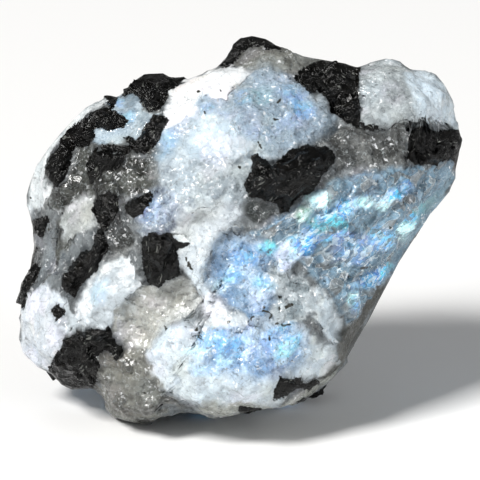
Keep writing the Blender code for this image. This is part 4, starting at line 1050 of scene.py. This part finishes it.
def between(share, first, other):
    """Two values mixed by a share."""
    return add("Mix", {0: share, 2: first, 3: other}).outputs[0]


def mix(share, first, other, blend="MIX"):
    """Two colours mixed by a share, each a socket or a colour as the eye sees it."""
    first, other = (colour if isinstance(colour, bpy.types.NodeSocket) else (*linear(colour), 1.0)
                    for colour in (first, other))
    return add("Mix", {0: share, 6: first, 7: other}, data_type="RGBA", blend_type=blend).outputs[2]


def attribute(name, output="Fac"):
    """A value stored on the mesh."""
    return add("Attribute", attribute_name=name).outputs[output]


def noise(where, scale, detail=2.0, rough=0.5, output="Fac"):
    """Soft noise from 0 to 1."""
    return add("TexNoise", {"Vector": where, "Scale": scale, "Detail": detail,
                            "Roughness": rough}).outputs[output]


def stretched_by(where, shape):
    """A place stretched along its own axes."""
    return add("Mapping", {"Vector": where, "Scale": shape}).outputs["Vector"]


def vectors(operation, first, other):
    """The node of one sum on two vectors."""
    return add("VectorMath", {0: first, 1: other}, operation=operation)


def cells(where, scale, metric="EUCLIDEAN"):
    """Angular grains: three random numbers for each, and the height of their tilted facets."""
    node = add("TexVoronoi", {"Vector": where, "Scale": scale}, distance=metric)
    away = vectors("SUBTRACT", where, node.outputs["Position"]).outputs[0]
    tilt = vectors("SUBTRACT", node.outputs["Color"], (0.5, 0.5, 0.5)).outputs[0]
    drawn = add("SeparateColor", {"Color": node.outputs["Color"]}).outputs
    return drawn, vectors("DOT_PRODUCT", away, tilt).outputs["Value"]


def line(where, scale, width):
    """A thin wandering line, where soft noise crosses its middle."""
    return ramp(maths("ABSOLUTE", minus(noise(where, scale, 1.5), 0.5)), width, 0.0)


turn_back = Matrix.Rotation(math.radians(LEAN - 90), 4, "X")
offset = turn_back @ Matrix.Translation(tuple(-face_middle / MM))
place = add("Mapping", {
    "Vector": add("TexCoord").outputs["Object"],
    "Scale": (1 / MM, 1 / MM, 1 / MM),
    "Rotation": (math.radians(LEAN - 90), 0, 0),
    "Location": tuple(offset.translation),
}).outputs["Vector"]
bent = vectors("ADD", place, noise(place, 1.3, output="Color")).outputs[0]
grain, grain_facets = cells(bent, GRAIN_SCALE)
crumb, crumb_facets = cells(bent, CRUMB_SCALE)
cloud = noise(place, 0.42, 4.0, 0.6)
grit = noise(place, 5.0, 3.0, 0.6)
shine = attribute("sparkle")
facet = minus(attribute("facet"), 0.5)

# The ledges break into long flat planes along the cleavage, with finer ones on them.
ledges = attribute("blades")
swayed = add("Mix", {0: 0.2, 4: place, 5: bent}, data_type="VECTOR").outputs[1]
turned = add("Mapping", {"Vector": swayed, "Rotation": (0, 0, math.radians(-BLADE_TURN))}).outputs[0]
plane_place = stretched_by(turned, PLANE_SHAPE)
plane, plane_facets = cells(plane_place, 1.0, "CHEBYCHEV")
flake, flake_facets = cells(plane_place, FLAKE_SCALE, "CHEBYCHEV")

# Colour of the feldspar: two tints in clouds, each grain a little lighter or darker.
colour = mix(ramp(plus(cloud, times(facet, 0.6)), 0.38, 0.68),
             attribute("tint", "Color"), attribute("second_tint", "Color"))
colour = mix(times(ledges, ramp(plane[2], 0.72, 0.74, 0.0, 0.5)), colour, WARM_TINT)
by_grain = plus(plus(swing(noise(place, 0.6), 1.0), times(facet, 0.7)), swing(crumb[1], 0.18))
by_plane = plus(swing(plane[0], 0.7), swing(flake[0], 0.5))
lightness = plus(1.0, times(shine, between(ledges, by_grain, by_plane)))
lightness = times(lightness, ramp(grit, 0.2, 0.8, 0.92, 1.06))
grey = add("CombineColor", {"Red": lightness, "Green": lightness, "Blue": lightness}).outputs[0]
colour = mix(1.0, colour, grey, "MULTIPLY")

# The flash, painted into the colour: long blades along the cleavage, some grains lit and others not.
streaks = noise(stretched_by(turned, STREAK_SHAPE), 1.6, 3.0, 0.6)
lit_grain = plus(plus(streaks, times(facet, 0.5)), swing(crumb[2], 0.2))
lit_plane = plus(times(plane[1], 0.6), times(flake[1], 0.4))
lit = between(ledges, ramp(lit_grain, 0.22, 0.44), ramp(lit_plane, 0.3, 0.36, 0.35))
flash_share = times(attribute("flash"), lit, clamp=True)
glow_colour = add("HueSaturation", {
    "Hue": ramp(grain[1], 0, 1, 0.46, 0.5), "Saturation": 0.95,
    "Value": ramp(crumb[0], 0, 1, 0.8, 1.25), "Color": attribute("glow", "Color")}).outputs[0]
colour = mix(flash_share, colour, glow_colour)
# The brightest parts of the flash are a painted near-white highlight.
flash_highlight_share = between(ledges, ramp(plus(facet, streaks), 0.62, 0.8), ramp(flake[2], 0.68, 0.7, 0.0, 0.9))
flash_highlight = times(flash_share, flash_highlight_share, clamp=True)
colour = mix(times(flash_highlight, 0.6), colour, FLASH_HIGHLIGHT_TINT)

# Painted white glints of the smallest planes, and their dark grit.
cluster = ramp(noise(place, 0.6), 0.5, 0.62)
painted_glint = times(ramp(crumb[2], 0.86, 0.94), times(shine, cluster), clamp=True)
colour = mix(painted_glint, colour, PAINTED_GLINT_TINT)
dark_grit = times(ramp(crumb[0], 0.06, 0.03), times(shine, 0.6), clamp=True)
colour = mix(dark_grit, colour, GRIT_TINT)

# Painted highlights and painted shade: thin bright and dark lines along the edges of the planes on the
# ledges. Thin wandering bright lines over the feldspar are painted highlights too, and the wandering dark
# ones are hairlines.
nearest, next_one = (
    add("TexVoronoi", {"Vector": plane_place, "Scale": 1.0}, distance="CHEBYCHEV", feature=rank)
    .outputs["Distance"] for rank in ("F1", "F2"))
rim_of_plane = minus(next_one, nearest)
painted_highlight = times(ramp(rim_of_plane, 0.05, 0.02), ramp(plane[1], 0.45, 0.5))
painted_highlight = times(painted_highlight, times(ledges, ramp(streaks, 0.4, 0.55, 0.0, 0.7)))
painted_highlight = maths("MAXIMUM", painted_highlight, times(line(bent, 0.8, 0.02), times(shine, 0.35)))
edge_shade_and_hairline = times(ramp(rim_of_plane, 0.06, 0.03), ramp(plane[1], 0.45, 0.4))
edge_shade_and_hairline = times(edge_shade_and_hairline, times(ledges, 0.6))
edge_shade_and_hairline = maths("MAXIMUM", edge_shade_and_hairline, times(line(place, 0.45, 0.01), 0.4))
colour = mix(edge_shade_and_hairline, colour, SHADE_AND_HAIRLINE_TINT)
colour = mix(painted_highlight, colour, PAINTED_HIGHLIGHT_TINT)

# Hairline cracks, and specks of tourmaline caught in the feldspar.
crack = add("TexVoronoi", {"Vector": bent, "Scale": CRACK_SCALE}, feature="DISTANCE_TO_EDGE")
crack_share = times(ramp(crack.outputs["Distance"], 0.022, 0.004), ramp(cloud, 0.4, 0.6))
colour = mix(times(crack_share, 0.5), colour, CRACK_TINT)
speck = add("TexVoronoi", {"Vector": bent, "Scale": SPECK_SCALE}).outputs["Distance"]
speck_share = maths("MAXIMUM", ramp(speck, 0.06, 0.04), ramp(attribute("specks"), 0.35, 0.6))
colour = mix(speck_share, colour, SPECK_TINT)

# Tourmaline: near black with a brown or olive cast, paler along its ribs, and with painted grey glints in
# small patches along the ribs.
ribbed = stretched_by(attribute("ribs", "Vector"), RIB_SHAPE)
rib_noise = noise(ribbed, 1.0, 4.0, 0.65)
dark = mix(ramp(rib_noise, 0.45, 0.75), BLACK_TINTS[0], BLACK_TINTS[1])
dark = mix(times(ramp(cloud, 0.5, 0.7), 0.5), dark, BLACK_TINTS[2])
black_glint_cells = cells(ribbed, BLACK_GLINT_SCALE)[0]
painted_black_glints = times(ramp(black_glint_cells[0], 0.88, 0.92), ramp(noise(place, 0.5), 0.56, 0.64))
dark = mix(times(painted_black_glints, 0.8), dark, BLACK_GLINT_TINT)
toothed = plus(attribute("tourmaline"), swing(noise(place, 1.6, 4.0, 0.7), 1.1))
is_black = ramp(toothed, -0.18, -0.08)
tree.links.new(mix(is_black, colour, dark), shader.inputs["Base Color"])

# Gloss, shading relief of up to about a quarter of a millimetre, and a faint painted glow of the flash in
# the emission.
polish = plus(ramp(crumb[1], 0, 1, 0.04, 0.28), times(grit, 0.15))
polish = plus(polish, ramp(shine, 0.4, 0.8, 0.15, 0.0))
dull = plus(ramp(grain[0], 0, 1, 0.06, 0.16), times(grit, 0.05))
tree.links.new(between(is_black, polish, dull), shader.inputs["Roughness"])
coated = times(ramp(is_black, 0, 1, 0.6, 0.0), ramp(grit, 0.46, 0.6, 0.12))
tree.links.new(coated, shader.inputs["Coat Weight"])
broken_relief = times(attribute("chipped"), plus(times(grain_facets, 0.5), times(crumb_facets, 0.5)))
plane_relief = plus(times(plane_facets, 0.9), times(flake_facets, 0.8))
feldspar_relief = plus(between(ledges, broken_relief, plane_relief), times(grit, 0.01))
black_relief = plus(times(rib_noise, 0.35), times(crumb_facets, 0.45))
relief_height = between(is_black, feldspar_relief, black_relief)
bump = add("Bump", {"Height": relief_height, "Strength": 1.0, "Distance": MM})
tree.links.new(bump.outputs["Normal"], shader.inputs["Normal"])
# Painted glow: the flash colour and its near-white highlight go to the emission, so they shine a little of
# themselves.
painted_glow_colour = mix(flash_share, (0, 0, 0), mix(flash_highlight, glow_colour, FLASH_HIGHLIGHT_TINT))
painted_glow_colour = mix(minus(1.0, is_black), (0, 0, 0), painted_glow_colour)
tree.links.new(painted_glow_colour, shader.inputs["Emission Color"])
for name, value in (("Emission Strength", 0.2), ("IOR", 1.53), ("Specular IOR Level", 0.25),
                    ("Subsurface Weight", 0.3), ("Subsurface Radius", (1.0, 1.0, 1.0)),
                    ("Subsurface Scale", 0.7 * MM)):
    shader.inputs[name].default_value = value

stone.data.materials.clear()
stone.data.materials.append(finish)
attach(stone, "root")
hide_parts("moonstone")

# The photo table.
# The stone stands on a broad white table under two soft lamps and a white sky, and the camera
# looks square at its best face from far off.
FLOOR_SIZE = 8.0
PHOTO_WIDTH = 480 * 0.15 * MM
LENS = 600.0
SENSOR = 36.0

table = bpy.data.meshes.new("table_top")
sheet = bmesh.new()
bmesh.ops.create_grid(sheet, x_segments=1, y_segments=1, size=FLOOR_SIZE / 2)
sheet.to_mesh(table)
sheet.free()
floor = bpy.data.objects.new("table_top", table)
bpy.context.scene.collection.objects.link(floor)
white = bpy.data.materials.new("white_table")
white.use_nodes = True
white.node_tree.nodes["Principled BSDF"].inputs["Base Color"].default_value = (0.93, 0.93, 0.93, 1)
white.node_tree.nodes["Principled BSDF"].inputs["Roughness"].default_value = 0.8
table.materials.append(white)


def lamp(name, place, size, power, colour):
    """A square soft lamp that faces the stone."""
    light = bpy.data.lights.new(name, "AREA")
    light.shape = "SQUARE"
    light.size = size
    light.energy = power
    light.color = colour
    holder = bpy.data.objects.new(name, light)
    holder.location = place
    aim = (stone_middle - holder.location).to_track_quat("-Z", "Y")
    holder.rotation_euler = aim.to_euler()
    bpy.context.scene.collection.objects.link(holder)


stone_middle = (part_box("moonstone")[0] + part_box("moonstone")[1]) / 2
lamp("key_lamp", (-1.68, -1.60, 2.48), 0.90, 142.0, (1.0, 0.99, 0.97))
lamp("side_lamp", (0.60, -0.30, 0.25), 0.35, 1.4, (0.95, 0.98, 1.0))

sky = bpy.data.worlds.new("white_sky")
sky.use_nodes = True
links = sky.node_tree.links
background = sky.node_tree.nodes["Background"]
background.inputs["Color"].default_value = (1, 1, 1, 1)
seen = sky.node_tree.nodes.new("ShaderNodeLightPath")
level = sky.node_tree.nodes.new("ShaderNodeMapRange")
links.new(seen.outputs["Is Camera Ray"], level.inputs["Value"])
level.inputs["To Min"].default_value = 0.2
level.inputs["To Max"].default_value = 1.0
links.new(level.outputs["Result"], background.inputs["Strength"])
bpy.context.scene.world = sky
bpy.context.scene.view_settings.view_transform = "Standard"

camera = bpy.data.objects.new("camera", bpy.data.cameras.new("camera"))
camera.data.lens = LENS
camera.data.sensor_width = SENSOR
camera.data.clip_start = 0.05
camera.data.clip_end = 20
distance = PHOTO_WIDTH * LENS / SENSOR
lean = math.radians(LEAN)
camera.location = face_middle + np.array([0, -math.cos(lean), math.sin(lean)]) * distance
camera.rotation_euler = (math.radians(90 - LEAN), 0, 0)
bpy.context.scene.collection.objects.link(camera)
bpy.context.scene.camera = camera
